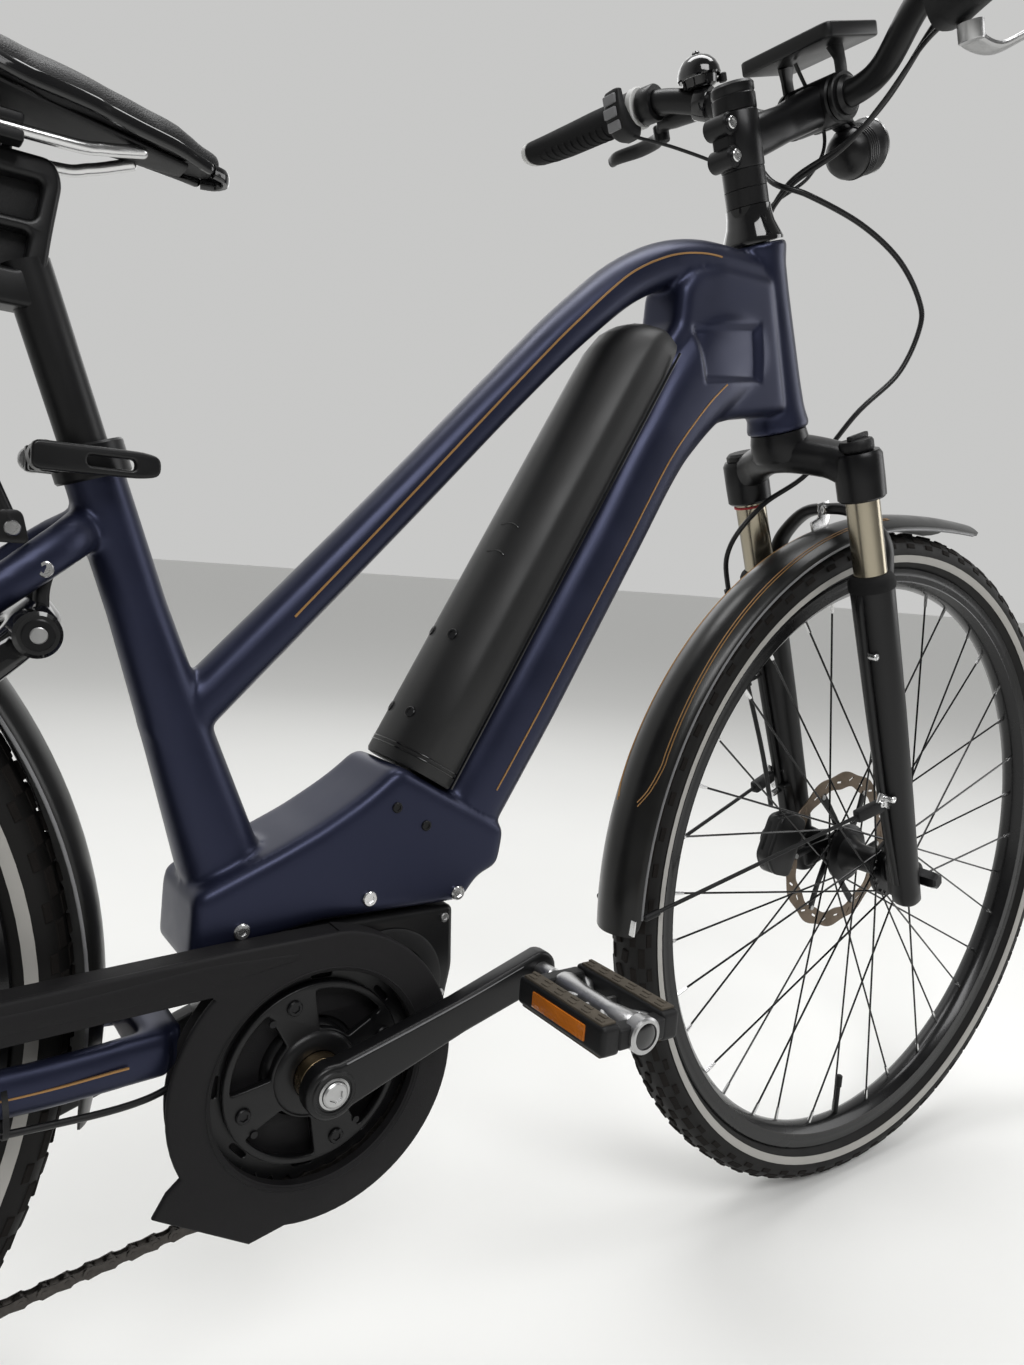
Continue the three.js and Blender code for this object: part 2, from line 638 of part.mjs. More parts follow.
function makeForkLowers() {
  const arch = [
    [38, -66, 330], [54, -58, 362], [58, -30, ARCH_HEIGHT],
    [58, 30, ARCH_HEIGHT], [54, 58, 362], [38, 66, 330],
  ];
  const parts = [bentRod(arch, 7, 8, 12)];
  const bores = [];
  for (const side of [-1, 1]) {
    const y = side * LEG_SPACING;
    parts.push(rod(point(LEG_LEAD, y, -14), point(LEG_LEAD, y, 200), 14, 12, 18.5));
    parts.push(rod(point(LEG_LEAD, y, 200), point(LEG_LEAD, y, LEG_TOP), 18.5, 12, 20.5));
    const tab = [[12, 30], [30, 34], ...arc(FORK_OFFSET, 0, 13, 60, -100, 6), [30, -14], [14, -10]];
    parts.push(plate(tab, side * 57 - 5, side * 57 + 5));
    bores.push(rod(point(LEG_LEAD, y, 190), point(LEG_LEAD, y, LEG_TOP + 60), STANCHION_RADIUS + 0.9, 14));
  }
  parts.push(plate([[-2, 44], [14, 44], [14, 96], [-2, 96]], 60, 72));
  return cut(join(...parts), ...bores, pin(FORK_OFFSET, 0, 6.9, -90, 90));
}

// Mudguard: a curved band over the tyre between two angles, with its wire stays.
function fenderBand(from, to, steps, tipLift = 0) {
  const section = [
    [-29, -15], [-24, -4], [-9, 0], [9, 0], [24, -4], [29, -15],
    [26.6, -15], [21.5, -6], [0, -2.6], [-21.5, -6], [-26.6, -15],
  ];
  const shape = new THREE.Shape(section.map(([y, r]) => new THREE.Vector2(y, r)));
  const band = new THREE.ExtrudeGeometry(shape, { depth: 1, steps, bevelEnabled: false });
  const position = band.getAttribute('position');
  for (let i = 0; i < position.count; i += 1) {
    const part = position.getZ(i);
    const turn = THREE.MathUtils.degToRad(THREE.MathUtils.lerp(from, to, part));
    const lift = tipLift * Math.max(0, (part - 0.8) / 0.2) ** 2;
    const radius = FENDER_RADIUS + lift + position.getY(i);
    position.setXYZ(i, radius * Math.cos(turn), position.getX(i), radius * Math.sin(turn));
  }
  return band;
}

// A wire on one side of a mudguard, from a leg or axle plate to the band's edge.
function stay(from, angle, side, inset) {
  const turn = THREE.MathUtils.degToRad(angle);
  const end = point(362 * Math.cos(turn), side * 28, 362 * Math.sin(turn));
  return rod(point(...from), end.clone().setY(side * (28 + inset)), 2, 4);
}

function makeFrontFender() {
  const band = fenderBand(184, 74, 13, 16);
  const parts = [band];
  for (const side of [-1, 1]) {
    const foot = [-78, side * 64, 86];
    parts.push(stay(foot, 181, side, -1.5));
    parts.push(rod(point(-86, side * 64, 84), point(-79, side * 64, 87), 5, 6));
  }
  return join(...parts);
}

function makeRearFender() {
  const band = fenderBand(196, -12, 20);
  const parts = [band];
  for (const side of [-1, 1]) {
    parts.push(stay([-14, side * 66, 40], 150, side, -1.5));
    parts.push(stay([-14, side * 66, 40], 184, side, -1.5));
    parts.push(pin(-14, 40, 4, Math.min(side * 60, side * 66.6), Math.max(side * 60, side * 66.6), 8));
  }
  return join(...parts);
}

function makeCaliper(clear) {
  const shell = [[-34, -22], [30, -22], [34, 0], [24, 20], [-22, 22], [-36, 6]];
  const slot = box(90, 5, 40, [0, clear, -14]);
  return cut(plate(shell, clear - 7.5, clear + 20, 2), slot);
}

function makeFork() {
  add('fork_crown', 'black', makeForkCrown(), steering);
  add('fork_lowers', 'black', makeForkLowers(), steering);
  const knob = join(upright(13, 14, -4, 4, 16), box(26, 6, 6, [0, 0, 5]));
  const lockout = add('lockout_knob', 'plastic', knob, steering);
  lockout.position.set(LEG_LEAD, -LEG_SPACING, KNOB_SEAT + 4.3);
  add('front_fender', 'fender', makeFrontFender(), frontWheel);
  const axle = [
    [0, -86], [8, -86], [10, -76], [10, -62.3], [6.1, -62.3], [6.1, 62.3], [10, 62.3], [10, 72], [0, 72],
  ];
  add('front_axle', 'black', spun(axle, 12), frontWheel);
  const caliper = add('front_caliper', 'black', makeCaliper(0), steering);
  caliper.position.set(-38, 36, 52);
  caliper.rotation.y = -0.9;
}

// ---------------------------------------------------------------- cockpit

const STEM_REACH = 109;
const BAR_CENTRE = 744;
const BAR_END = [50, 328, 803];
const GRIP_START = [68, 202, 801];

function makeStem() {
  const clamp = upright(18, 18, 700, 744, 14);
  const reach = [[8, 724], [55, 732], [STEM_REACH - 6, BAR_CENTRE]];
  const arm = hull(reach, [[17, 16, 2.6], [15, 16, 2.6], [17, 20, 2.8]], 4, 12);
  const jaw = pin(STEM_REACH, BAR_CENTRE, 20, -24, 24, 14);
  const ears = box(16, 24, 38, [-22, 0, 722]);
  const steerer = upright(15.2, 15.2, 682, 762, 14);
  const barClear = pin(STEM_REACH, BAR_CENTRE, 15.9 + GAP, -60, 60, 18);
  const cap = cut(join(clamp, arm, jaw, ears), steerer, barClear);
  const spacer = cut(upright(18, 18, 742, 764, 14), steerer);
  return join(cap, spacer, upright(17, 18, 762.6, 766.6, 14));
}

// The bent tube of the bar, or the space that a clamp on it leaves for it.
function makeBarTube(grown = 0) {
  const half = [
    [STEM_REACH, 0, BAR_CENTRE], [STEM_REACH, 40, BAR_CENTRE], [107, 70, 753], [96, 108, 780],
    [82, 145, 796], [74, 170, 801], GRIP_START, [59, 265, 802], BAR_END,
  ];
  const mirrored = half.slice(1).map(([a, y, s]) => [a, -y, s]).reverse();
  return bentRod([...mirrored, ...half], BAR_RADIUS + grown, 8, 30);
}

function makeHandlebar() {
  return join(makeBarTube(), pin(STEM_REACH, BAR_CENTRE, 15.9, -34, 34, 16));
}

// A grip with a palm wing at its outer end, bored for the bar.
function makeGrip(side) {
  const centre = [[GRIP_START[0], GRIP_START[2], 0], [BAR_END[0], BAR_END[2], 0]];
  const length = 128;
  const geometry = new THREE.CylinderGeometry(1, 1, length, 14, 6);
  const position = geometry.getAttribute('position');
  for (let i = 0; i < position.count; i += 1) {
    const t = THREE.MathUtils.clamp(position.getY(i) / length + 0.5, 0, 1);
    const wing = 16 * THREE.MathUtils.smoothstep(t, 0.35, 0.9);
    const backwards = position.getX(i) < 0 ? 17 + wing : 17;
    const place = [0, 1].map((k) => THREE.MathUtils.lerp(centre[0][k], centre[1][k], t));
    const y = GRIP_START[1] + t * length;
    const droop = position.getX(i) < 0 ? wing * 0.25 * position.getX(i) : 0;
    const height = place[1] + position.getZ(i) * 16.5 + droop;
    position.setXYZ(i, place[0] + position.getX(i) * backwards, y, height);
  }
  const grip = cut(geometry, makeBarTube(0.4).scale(1, (BAR_END[1] + GAP) / BAR_END[1], 1));
  return side > 0 ? grip : mirror(grip);
}

// The same solid on the other side of the bicycle.
function mirror(geometry) {
  return toGeometry(toSolid(geometry).mirror([0, 1, 0]));
}

// The clamp and master cylinder of a hydraulic brake, ahead of the bar.
function makeBrakeBody() {
  const clamp = rod(point(75.5, 160, 800), point(72.5, 176, 800.6), 17, 14);
  const barrel = rod(point(107, 134, 786), point(100, 178, 788), 11, 12);
  const foot = box(26, 14, 14, [92, 166, 794]);
  const body = join(clamp, barrel, foot);
  return cut(body, makeBarTube(0.5));
}

function makeBrakeLever() {
  const path = [[104, 191, 778], [116, 208, 776], [122, 240, 776], [121, 275, 778], [127, 292, 778]];
  const blade = bentRod(path, 6, 8, 10);
  const eye = rod(point(104, 188, 772), point(104, 188, 786), 8, 12);
  return join(blade, eye);
}

function makeShifter() {
  const pod = rod(point(84, -140, 774), point(80, -176, 778), 22, 14, 20);
  const body = join(pod, box(34, 30, 16, [98, -158, 796]));
  return cut(body, makeBarTube(0.5));
}

function makeControlPod() {
  const ring = rod(point(70.6, 183, 801), point(68.4, 199, 801), 18, 16);
  const pad = box(26, 24, 30, [52, 190, 790]);
  return cut(join(ring, pad), makeBarTube(0.5));
}

function makeDisplay() {
  const slab = plate([[-34, -6], [34, -6], [36, 0], [34, 6], [-34, 6], [-36, 0]], -48, 48, 2);
  const neck = box(20, 24, 26, [-4, 0, -16]);
  const clamp = pin(4, -46, 20, -31, -25.5, 12);
  const other = pin(4, -46, 20, 25.5, 31, 12);
  const arms = [box(20, 6, 36, [2, -28.2, -18]), box(20, 6, 36, [2, 28.2, -18])];
  const cross = box(22, 60, 8, [0, 0, -7]);
  const body = join(slab, neck, cross, ...arms, clamp, other);
  return cut(body, pin(4, -46, 16.3, -80, 80, 14), pin(4, -46, 20.6, -25, 25, 14));
}

function makeBell() {
  const strap = rod(point(95.5, 111, 782), point(91, 123, 787), 15.5, 12);
  const base = new THREE.CylinderGeometry(20, 20, 6, 12).translate(0, -2.8, 0);
  const cup = join(base, domeSolid()).rotateX(Math.PI / 2).translate(93, 117, 806);
  return cut(join(strap, cup), makeBarTube(0.5));
}

// A half ball closed with a disc, as a turned profile.
function domeSolid() {
  const profile = arc(0, 0, 21, 0, 90, 4).map(([r, h]) => new THREE.Vector2(r, h));
  profile[profile.length - 1].x = 0;
  return new THREE.LatheGeometry([new THREE.Vector2(0, 0), ...profile], 12);
}

function makeCockpit() {
  const stack = [[14.8, 640], [25, 640], [24, 646], [19, 664], [18, 672], [18, 699.6], [14.8, 699.6]];
  const headset = turned(stack, 16).rotateX(Math.PI / 2);
  add('headset_cover', 'gloss', headset, steering);
  add('stem', 'black', makeStem(), steering);
  add('handlebar', 'black', makeHandlebar(), steering);
  add('grip_left', 'grip', makeGrip(1), steering);
  add('grip_right', 'grip', makeGrip(-1), steering);
  add('brake_body_left', 'black', makeBrakeBody(), steering);
  add('brake_body_right', 'black', join(mirror(makeBrakeBody()), makeShifter()), steering);
  add('brake_lever_left', 'black', makeBrakeLever(), steering);
  add('brake_lever_right', 'black', mirror(makeBrakeLever()), steering);
  const paddle = bentRod([[84, -160, 746], [92, -158, 740], [112, -164, 734], [128, -176, 738]], 5, 8, 6);
  const shiftEye = rod(point(84, -160, 743), point(84, -160, 752), 9, 12);
  add('shift_lever', 'steel', join(paddle, shiftEye), steering);
  add('control_pod', 'plastic', makeControlPod(), steering);
  const display = add('display', 'plastic', makeDisplay(), steering);
  display.position.set(STEM_REACH - 4, 0, BAR_CENTRE + 46);
  add('bell', 'gloss', makeBell(), steering);
  add('bell_lever', 'gloss', box(7, 26, 4, [118, 122, 804]), steering);
  const lamp = rod(point(134, 0, 700), point(178, 0, 708), 21, 18, 24);
  const lampArm = join(lamp, box(10, 16, 26, [139, 0, 726]), box(24, 40, 6, [131, 0, 735]));
  add('headlight', 'black', cut(lampArm, pin(STEM_REACH, BAR_CENTRE, 20.6, -40, 40, 20)), steering);
}

// ---------------------------------------------------------------- saddle, rack, lock, stand

function makeSeatpost() {
  const shaft = seatRod(POST_RADIUS, 232, 520, 20);
  const [x, , z] = seated(545);
  const head = [[-15, -50], [15, -50], [20, -10], [25, 20], [20, 31], [-22, 31], [-27, 18], [-20, -10]];
  return join(shaft, plate(head, -13, 13, 2).translate(x, 0, z));
}

function makeSaddleRails() {
  const parts = [];
  for (const side of [-1, 1]) {
    parts.push(bentRod([
      [-118, side * 12, 860], [-140, side * 19, 853], [-160, side * 22, 849.5], [-230, side * 22, 849.5],
      [-262, side * 26, 856], [-300, side * 42, 872],
    ], 3.5, 6, 11));
  }
  const clamp = box(44, 52, 12, [-203, 0, 849.5]);
  const postClear = makeSeatpost().translate(0, 0, 0.4);
  return cut(join(...parts, clamp), postClear, makeSaddle().translate(0, 0, -0.4));
}

// The saddle as one plain closed solid: narrow nose, wide rear.
function makeSaddle() {
  const centre = [[-78, 866], [-110, 872], [-170, 877], [-240, 880], [-300, 886], [-350, 892]];
  const sections = [
    [8, 14, 2.4], [14, 22, 2.4], [14, 34, 2.4], [15, 66, 2.6], [16, 82, 2.6], [8, 60, 2.4],
  ];
  return hull(centre, sections, 8, 14);
}

function makeRack() {
  const level = 765;
  const parts = [];
  for (const side of [-1, 1]) {
    const y = side * 55;
    parts.push(bentRod([
      [-232, side * 12, level - 2], [-262, side * 40, level], [-300, y, level], [-360, y, level],
      [-660, y, level], [-702, y, level], [-726, side * 36, level], [-730, side * 10, level],
      [-730, -side * 4, level],
    ], 6, 6, 10));
    parts.push(rod(point(-470, side * 55, level - 4), point(-505, side * 79, 408), 5, 6));
    parts.push(rod(point(-505, side * 79, 410), point(-500, side * 79, 396), 5, 6));
    parts.push(rod(point(-420, side * 55, level), point(-505, side * 79, 410), 4, 6));
    parts.push(rod(point(-236, side * 16, level), point(-184, side * 31, 640), 4, 6));
  }
  for (const x of [-340, -480, -620]) parts.push(rod(point(x, -55, level), point(x, 55, level), 4, 5));
  parts.push(rod(point(-234, -16, level - 2), point(-234, 16, level - 2), 6, 6));
  const lightOutline = [[-756, 742], [-738, 738], [-730, 742], [-730, 772], [-743, 776], [-754, 772]];
  parts.push(plate(lightOutline, -32, 32, 2));
  return join(...parts);
}

// The horseshoe body of the ring lock straddles the rear tyre at the seat stays.
const LOCK_TURN = THREE.MathUtils.degToRad(40);
function lockPlace(geometry) {
  return geometry.rotateY(-LOCK_TURN).translate(REAR_AXLE_X + 18, 0, WHEEL_RADIUS - 22);
}

function makeRingLock() {
  const outer = [
    [290, 58], [350, 60], [392, 56], [410, 36], [416, 0], [410, -36], [392, -56], [350, -60], [290, -58],
  ];
  const inner = [
    [290, -38], [350, -38], [380, -34], [388, -18], [390, 0], [388, 18], [380, 34], [350, 38], [290, 38],
  ];
  const shape = polygon([...outer, ...inner]);
  const body = new THREE.ExtrudeGeometry(shape, { depth: 18, bevelEnabled: false }).translate(0, 0, -9);
  const barrel = pin(394, 0, 11, -64, -40, 14);
  return lockPlace(join(body, barrel));
}

function makeLockLever() {
  return lockPlace(box(14, 8, 10, [350, 66, 0]));
}

const STAND_PIVOT = [-424, 93, 322];
const STAND_AXIS = [0.0491, 0.9789, 0.1979];
function makeStand() {
  const [px, py, pz] = STAND_PIVOT;
  const foot = point(px + 34, py + 62, 7);
  const leg = rod(point(px, py, pz), foot, 9, 12, 8);
  const hinge = point(...STAND_AXIS);
  const pivot = point(px, py, pz);
  const head = rod(
    pivot.clone().addScaledVector(hinge, -9.9), pivot.clone().addScaledVector(hinge, 10.2), 14, 16);
  const pad = upright(14, 18, 0, 12, 16).translate(foot.x, foot.y, 0);
  return join(leg, head, pad);
}

function makeFittings() {
  add('seat_clamp', 'black', makeSeatClamp());
  const [lx, , lz] = seated(408);
  const leverOutline = [[-24, -7], [34, -7], [44, -4], [44, 6], [34, 8], [-24, 7]];
  const lever = plate(leverOutline, -36, -29, 1, [[[4, -3], [30, -3], [30, 3], [4, 3]]]);
  const leverBolt = pin(-16, 0, 8, -30, -19, 12);
  add('clamp_lever', 'black', join(lever, leverBolt).translate(lx - 13, 0, lz));
  add('seatpost', 'black', makeSeatpost());
  add('saddle_rails', 'steel', makeSaddleRails());
  add('saddle', 'saddle', makeSaddle());
  add('battery_pack', 'battery', makeBattery());
  add('chainstays', 'navy', makeChainstays());
  add('seatstays', 'navy', makeSeatstays());
  add('rear_fender', 'fender', makeRearFender(), rearWheel);
  add('luggage_rack', 'black', makeRack());
  add('ring_lock', 'gloss', makeRingLock());
  add('lock_lever', 'plastic', makeLockLever());
  add('stand_leg', 'black', makeStand());
  const axle = [[0, -92], [9, -92], [10, -75], [6.1, -74.3], [6.1, 74.3], [10, 75], [10, 84], [0, 84]];
  add('rear_axle', 'black', spun(axle, 12), rearWheel);
}

// ---------------------------------------------------------------- hoses and cables

const FRONT_HOSE = [
  [112, 131, 780], [122, 104, 764], [110, 78, 738], [84, 56, 722], [50, 12, 690], [63, -15, 671],
  [109, -32, 638], [141, -45, 601], [159, -50, 563], [157, -50, 537], [129, -42, 501], [84, -24, 474],
  [46, 10, 428], [6, 38, 406], [-32, 52, 374], [-34, 60, 328],
  [-26, 62, 228], [-32, 50, 150], [-36, 46, 92],
];
const REAR_HOSE = [
  [112, -131, 780], [124, -100, 764], [112, -66, 728], [92, -36, 704], [66, 6, 686], [52, 34, 650],
  [36, 44, 610], [6, 46, 560], [-30, 44, 530],
];
const SHIFT_CABLE = [
  [96, -137, 764], [110, -104, 756], [106, -66, 726], [89, -36, 701], [64, 6, 682], [49, 34, 650],
  [33, 44, 610], [3, 46, 560], [-33, 44, 530],
];

function makeCables() {
  add('front_hose', 'hose', bentRod(FRONT_HOSE, 2.5, 6, 40), steering);
  const bundle = join(bentRod(REAR_HOSE, 2.5, 5, 16), bentRod(SHIFT_CABLE, 2, 5, 16));
  add('rear_cables', 'hose', bundle, steering);
}

makeFrame();
makeWheels();
makeDrive();
makeFork();
makeCockpit();
makeFittings();
makeCables();

// ---------------------------------------------------------------- origin

bike.updateMatrixWorld(true);
const extent = new THREE.Box3().setFromObject(bike, true);
bike.position.x = -(extent.min.x + extent.max.x) / 2;

export default bike;
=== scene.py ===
"""The looks of a trekking bicycle with a mid motor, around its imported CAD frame.

Pieces are drawn in millimetres in the local frames below and carried to metres.
BIKE has x = 0 at the bottom bracket and z = 0 on the ground; FRONT, REAR and DRIVE have
their origin at the axles and the spindle; STEER has +Z along the steering axis.
"""

import json
import math

import bmesh
import bpy
from mathutils import Matrix, Vector


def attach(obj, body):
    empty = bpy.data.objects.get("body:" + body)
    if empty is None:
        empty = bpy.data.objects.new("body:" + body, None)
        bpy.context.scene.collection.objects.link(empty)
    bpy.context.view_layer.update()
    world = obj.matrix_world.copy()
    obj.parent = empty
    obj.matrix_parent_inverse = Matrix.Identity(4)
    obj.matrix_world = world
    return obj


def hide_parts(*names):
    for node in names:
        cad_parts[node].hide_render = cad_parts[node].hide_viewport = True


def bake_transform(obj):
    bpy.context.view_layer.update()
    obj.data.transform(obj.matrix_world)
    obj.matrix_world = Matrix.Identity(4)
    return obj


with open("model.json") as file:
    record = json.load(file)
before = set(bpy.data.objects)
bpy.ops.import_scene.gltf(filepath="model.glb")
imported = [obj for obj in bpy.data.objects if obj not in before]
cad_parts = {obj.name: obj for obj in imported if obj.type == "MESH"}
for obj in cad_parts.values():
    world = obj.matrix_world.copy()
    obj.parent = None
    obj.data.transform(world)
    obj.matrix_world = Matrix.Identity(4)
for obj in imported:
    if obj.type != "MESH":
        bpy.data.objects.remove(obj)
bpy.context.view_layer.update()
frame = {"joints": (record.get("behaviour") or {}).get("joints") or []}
X, Y, Z = (1, 0, 0), (0, 1, 0), (0, 0, 1)


def joint(name):
    return next(j for j in frame["joints"] if j["name"] == name)


def local_frame(origin, x_axis=X, z_axis=Z):
    x, z = Vector(x_axis), Vector(z_axis)
    turn = Matrix((x, z.cross(x), z)).transposed().to_4x4()
    return Matrix.Translation(origin) @ turn @ Matrix.Scale(0.001, 4)


FORK_OFFSET = 0.047
UP = Vector(joint("steering_turn")["axis"]).normalized()
AHEAD = Vector((UP.z, 0, -UP.x))
FRONT_AXLE = Vector(joint("front_wheel_spin")["pos_m"])
REAR_AXLE = Vector(joint("rear_wheel_spin")["pos_m"])
SPINDLE = Vector(joint("crank_spin")["pos_m"])
BIKE = local_frame((SPINDLE.x, 0, 0))
FRONT = local_frame(FRONT_AXLE)
REAR = local_frame(REAR_AXLE)
DRIVE = local_frame(SPINDLE)
STEER = local_frame(FRONT_AXLE - FORK_OFFSET * AHEAD, AHEAD, UP)
BRACKET_HEIGHT = 297
SEAT_ANGLE = math.radians(70.9)
DOWN_ANGLE = math.radians(61.3)
CAMERA_PLACE = (-267.3, -621.8, 636.8)
CAMERA_YAW, CAMERA_PITCH, CAMERA_ROLL = (math.radians(turn) for turn in (35.43, -6.29, 4.24))
CAMERA_LENS = 25.71
SPOKES = 36
TREAD_PITCHES = 66
CRANK_LENGTH = 170
CRANK_TURN = -18.2
RING_TURN = 109.4
LEG_AHEAD, LEG_SIDE = 22, 66
BAR_AHEAD, BAR_UP, BAR_BORE = 109, 744, 11.3
UPPER_PULLEY, LOWER_PULLEY, REAR_HUB = (-489, 282), (-465, 182), (-496, 356)
SADDLE_CLAMP = -203

# ---------------------------------------------------------------- camera, light, floor


def make_camera():
    yaw, pitch, roll = CAMERA_YAW, CAMERA_PITCH, CAMERA_ROLL
    flat = math.cos(pitch)
    ahead = Vector((math.sin(yaw) * flat, math.cos(yaw) * flat, math.sin(pitch)))
    level = Vector((math.cos(yaw), -math.sin(yaw), 0))
    above = level.cross(ahead)
    right = math.cos(roll) * level + math.sin(roll) * above
    up = math.cos(roll) * above - math.sin(roll) * level
    data = bpy.data.cameras.new("camera")
    data.sensor_width = 36
    data.lens = CAMERA_LENS
    data.clip_start = 0.05
    camera = bpy.data.objects.new("camera", data)
    camera.matrix_world = Matrix.Translation(BIKE @ Vector(CAMERA_PLACE)) @ (
        Matrix((right, up, -ahead)).transposed().to_4x4()
    )
    bpy.context.scene.collection.objects.link(camera)
    bpy.context.scene.camera = camera


def make_light(name, place, target, size, power):
    data = bpy.data.lights.new(name, "AREA")
    data.shape = "RECTANGLE"
    data.size, data.size_y = size
    data.energy = power
    light = bpy.data.objects.new(name, data)
    turn = (Vector(target) - Vector(place)).to_track_quat("-Z", "Y")
    light.matrix_world = Matrix.Translation(place) @ turn.to_matrix().to_4x4()
    bpy.context.scene.collection.objects.link(light)


def add_node(tree, kind, **constants):
    """A shader node with constants on its named inputs; an underline stands for a space."""
    made = tree.nodes.new("ShaderNode" + kind)
    for socket, value in constants.items():
        made.inputs[socket.replace("_", " ")].default_value = value
    return made


def shade_world(tree, strength):
    """A bright wall behind the bicycle and a dim room on the camera's side, seen in reflections."""
    link = tree.links.new
    heading = add_node(tree, "SeparateXYZ")
    link(add_node(tree, "TexCoord").outputs["Generated"], heading.inputs["Vector"])
    room = add_node(tree, "MapRange", From_Min=-0.35, From_Max=0.45, To_Min=0.18, To_Max=0.95)
    link(heading.outputs["Y"], room.inputs["Value"])
    seen = add_node(tree, "MapRange", To_Max=0.72)
    link(add_node(tree, "LightPath").outputs["Is Camera Ray"], seen.inputs["Value"])
    link(room.outputs["Result"], seen.inputs["To Min"])
    link(seen.outputs["Result"], strength)


def make_studio():
    world = bpy.data.worlds.new("studio")
    world.use_nodes = True
    background = world.node_tree.nodes["Background"]
    background.inputs["Color"].default_value = (0.80, 0.80, 0.79, 1)
    shade_world(world.node_tree, background.inputs["Strength"])
    scene = bpy.context.scene
    scene.world = world
    scene.view_settings.view_transform = "Standard"
    make_light("key", (-0.6, -2.6, 3.0), (0.1, 0, 0.6), (2.2, 1.2), 74)
    make_light("overhead", (0.4, 0.3, 3.4), (0.1, 0, 0.5), (3.0, 0.9), 62)
    make_light("behind", (1.2, 2.8, 2.2), (0, 0, 0.6), (2.4, 1.6), 11)
    make_light("front", (3.2, -1.2, 1.6), (0.4, 0, 0.6), (1.4, 2.0), 26)
    floor = bpy.data.meshes.new("floor")
    half = 60
    corners = [(-half, -half, 0), (half, -half, 0), (half, half, 0), (-half, half, 0)]
    floor.from_pydata(corners, [], [(0, 1, 2, 3)])
    piece = bpy.data.objects.new("floor", floor)
    bpy.context.scene.collection.objects.link(piece)
    floor.materials.append(shader("floor_paint", (0.80, 0.80, 0.785), 0.6, vary=0.02, scale=3))


# ---------------------------------------------------------------- materials


def shader(name, colour, rough, metal=0.0, vary=0.15, scale=25.0, spread=0.05, grain=0.0,
           grain_scale=1500.0, fleck=0.0, stretch=(1, 1, 1), cells=False, coat=0.0, coat_rough=0.1,
           shine=0.35):
    """A procedural finish: the colour and roughness drift with one noise and the surface has a grain."""
    made = bpy.data.materials.new(name)
    made.use_nodes = True
    tree = made.node_tree
    link = tree.links.new
    surface = tree.nodes["Principled BSDF"]
    place = add_node(tree, "Mapping", Scale=stretch)
    link(add_node(tree, "TexCoord").outputs["Object"], place.inputs["Vector"])
    drift = add_node(tree, "TexNoise", Scale=scale, Detail=5)
    link(place.outputs["Vector"], drift.inputs["Vector"])
    fine = add_node(tree, "TexVoronoi" if cells else "TexNoise", Scale=grain_scale)
    link(place.outputs["Vector"], fine.inputs["Vector"])
    height = fine.outputs["Distance" if cells else "Fac"]
    mix = add_node(tree, "Mix")
    mix.data_type = "RGBA"
    mix.inputs["A"].default_value = (*[c * (1 - vary) for c in colour], 1)
    mix.inputs["B"].default_value = (*[min(1, c * (1 + vary)) for c in colour], 1)
    weight = add_node(tree, "Math")
    weight.operation = "MULTIPLY_ADD"
    weight.inputs[1].default_value = fleck
    link(height, weight.inputs[0])
    link(drift.outputs["Fac"], weight.inputs[2])
    link(weight.outputs["Value"], mix.inputs["Factor"])
    link(mix.outputs["Result"], surface.inputs["Base Color"])
    polish = add_node(tree, "MapRange", From_Min=0.3, From_Max=0.7, To_Min=max(0.02, rough - spread),
        To_Max=min(1, rough + spread))
    link(drift.outputs["Fac"], polish.inputs["Value"])
    link(polish.outputs["Result"], surface.inputs["Roughness"])
    if grain:
        bump = add_node(tree, "Bump", Strength=grain, Distance=0.0004)
        link(height, bump.inputs["Height"])
        link(bump.outputs["Normal"], surface.inputs["Normal"])
    surface.inputs["Metallic"].default_value = metal
    surface.inputs["Coat Weight"].default_value = coat
    surface.inputs["Coat Roughness"].default_value = coat_rough
    surface.inputs["Specular IOR Level"].default_value = shine
    return made


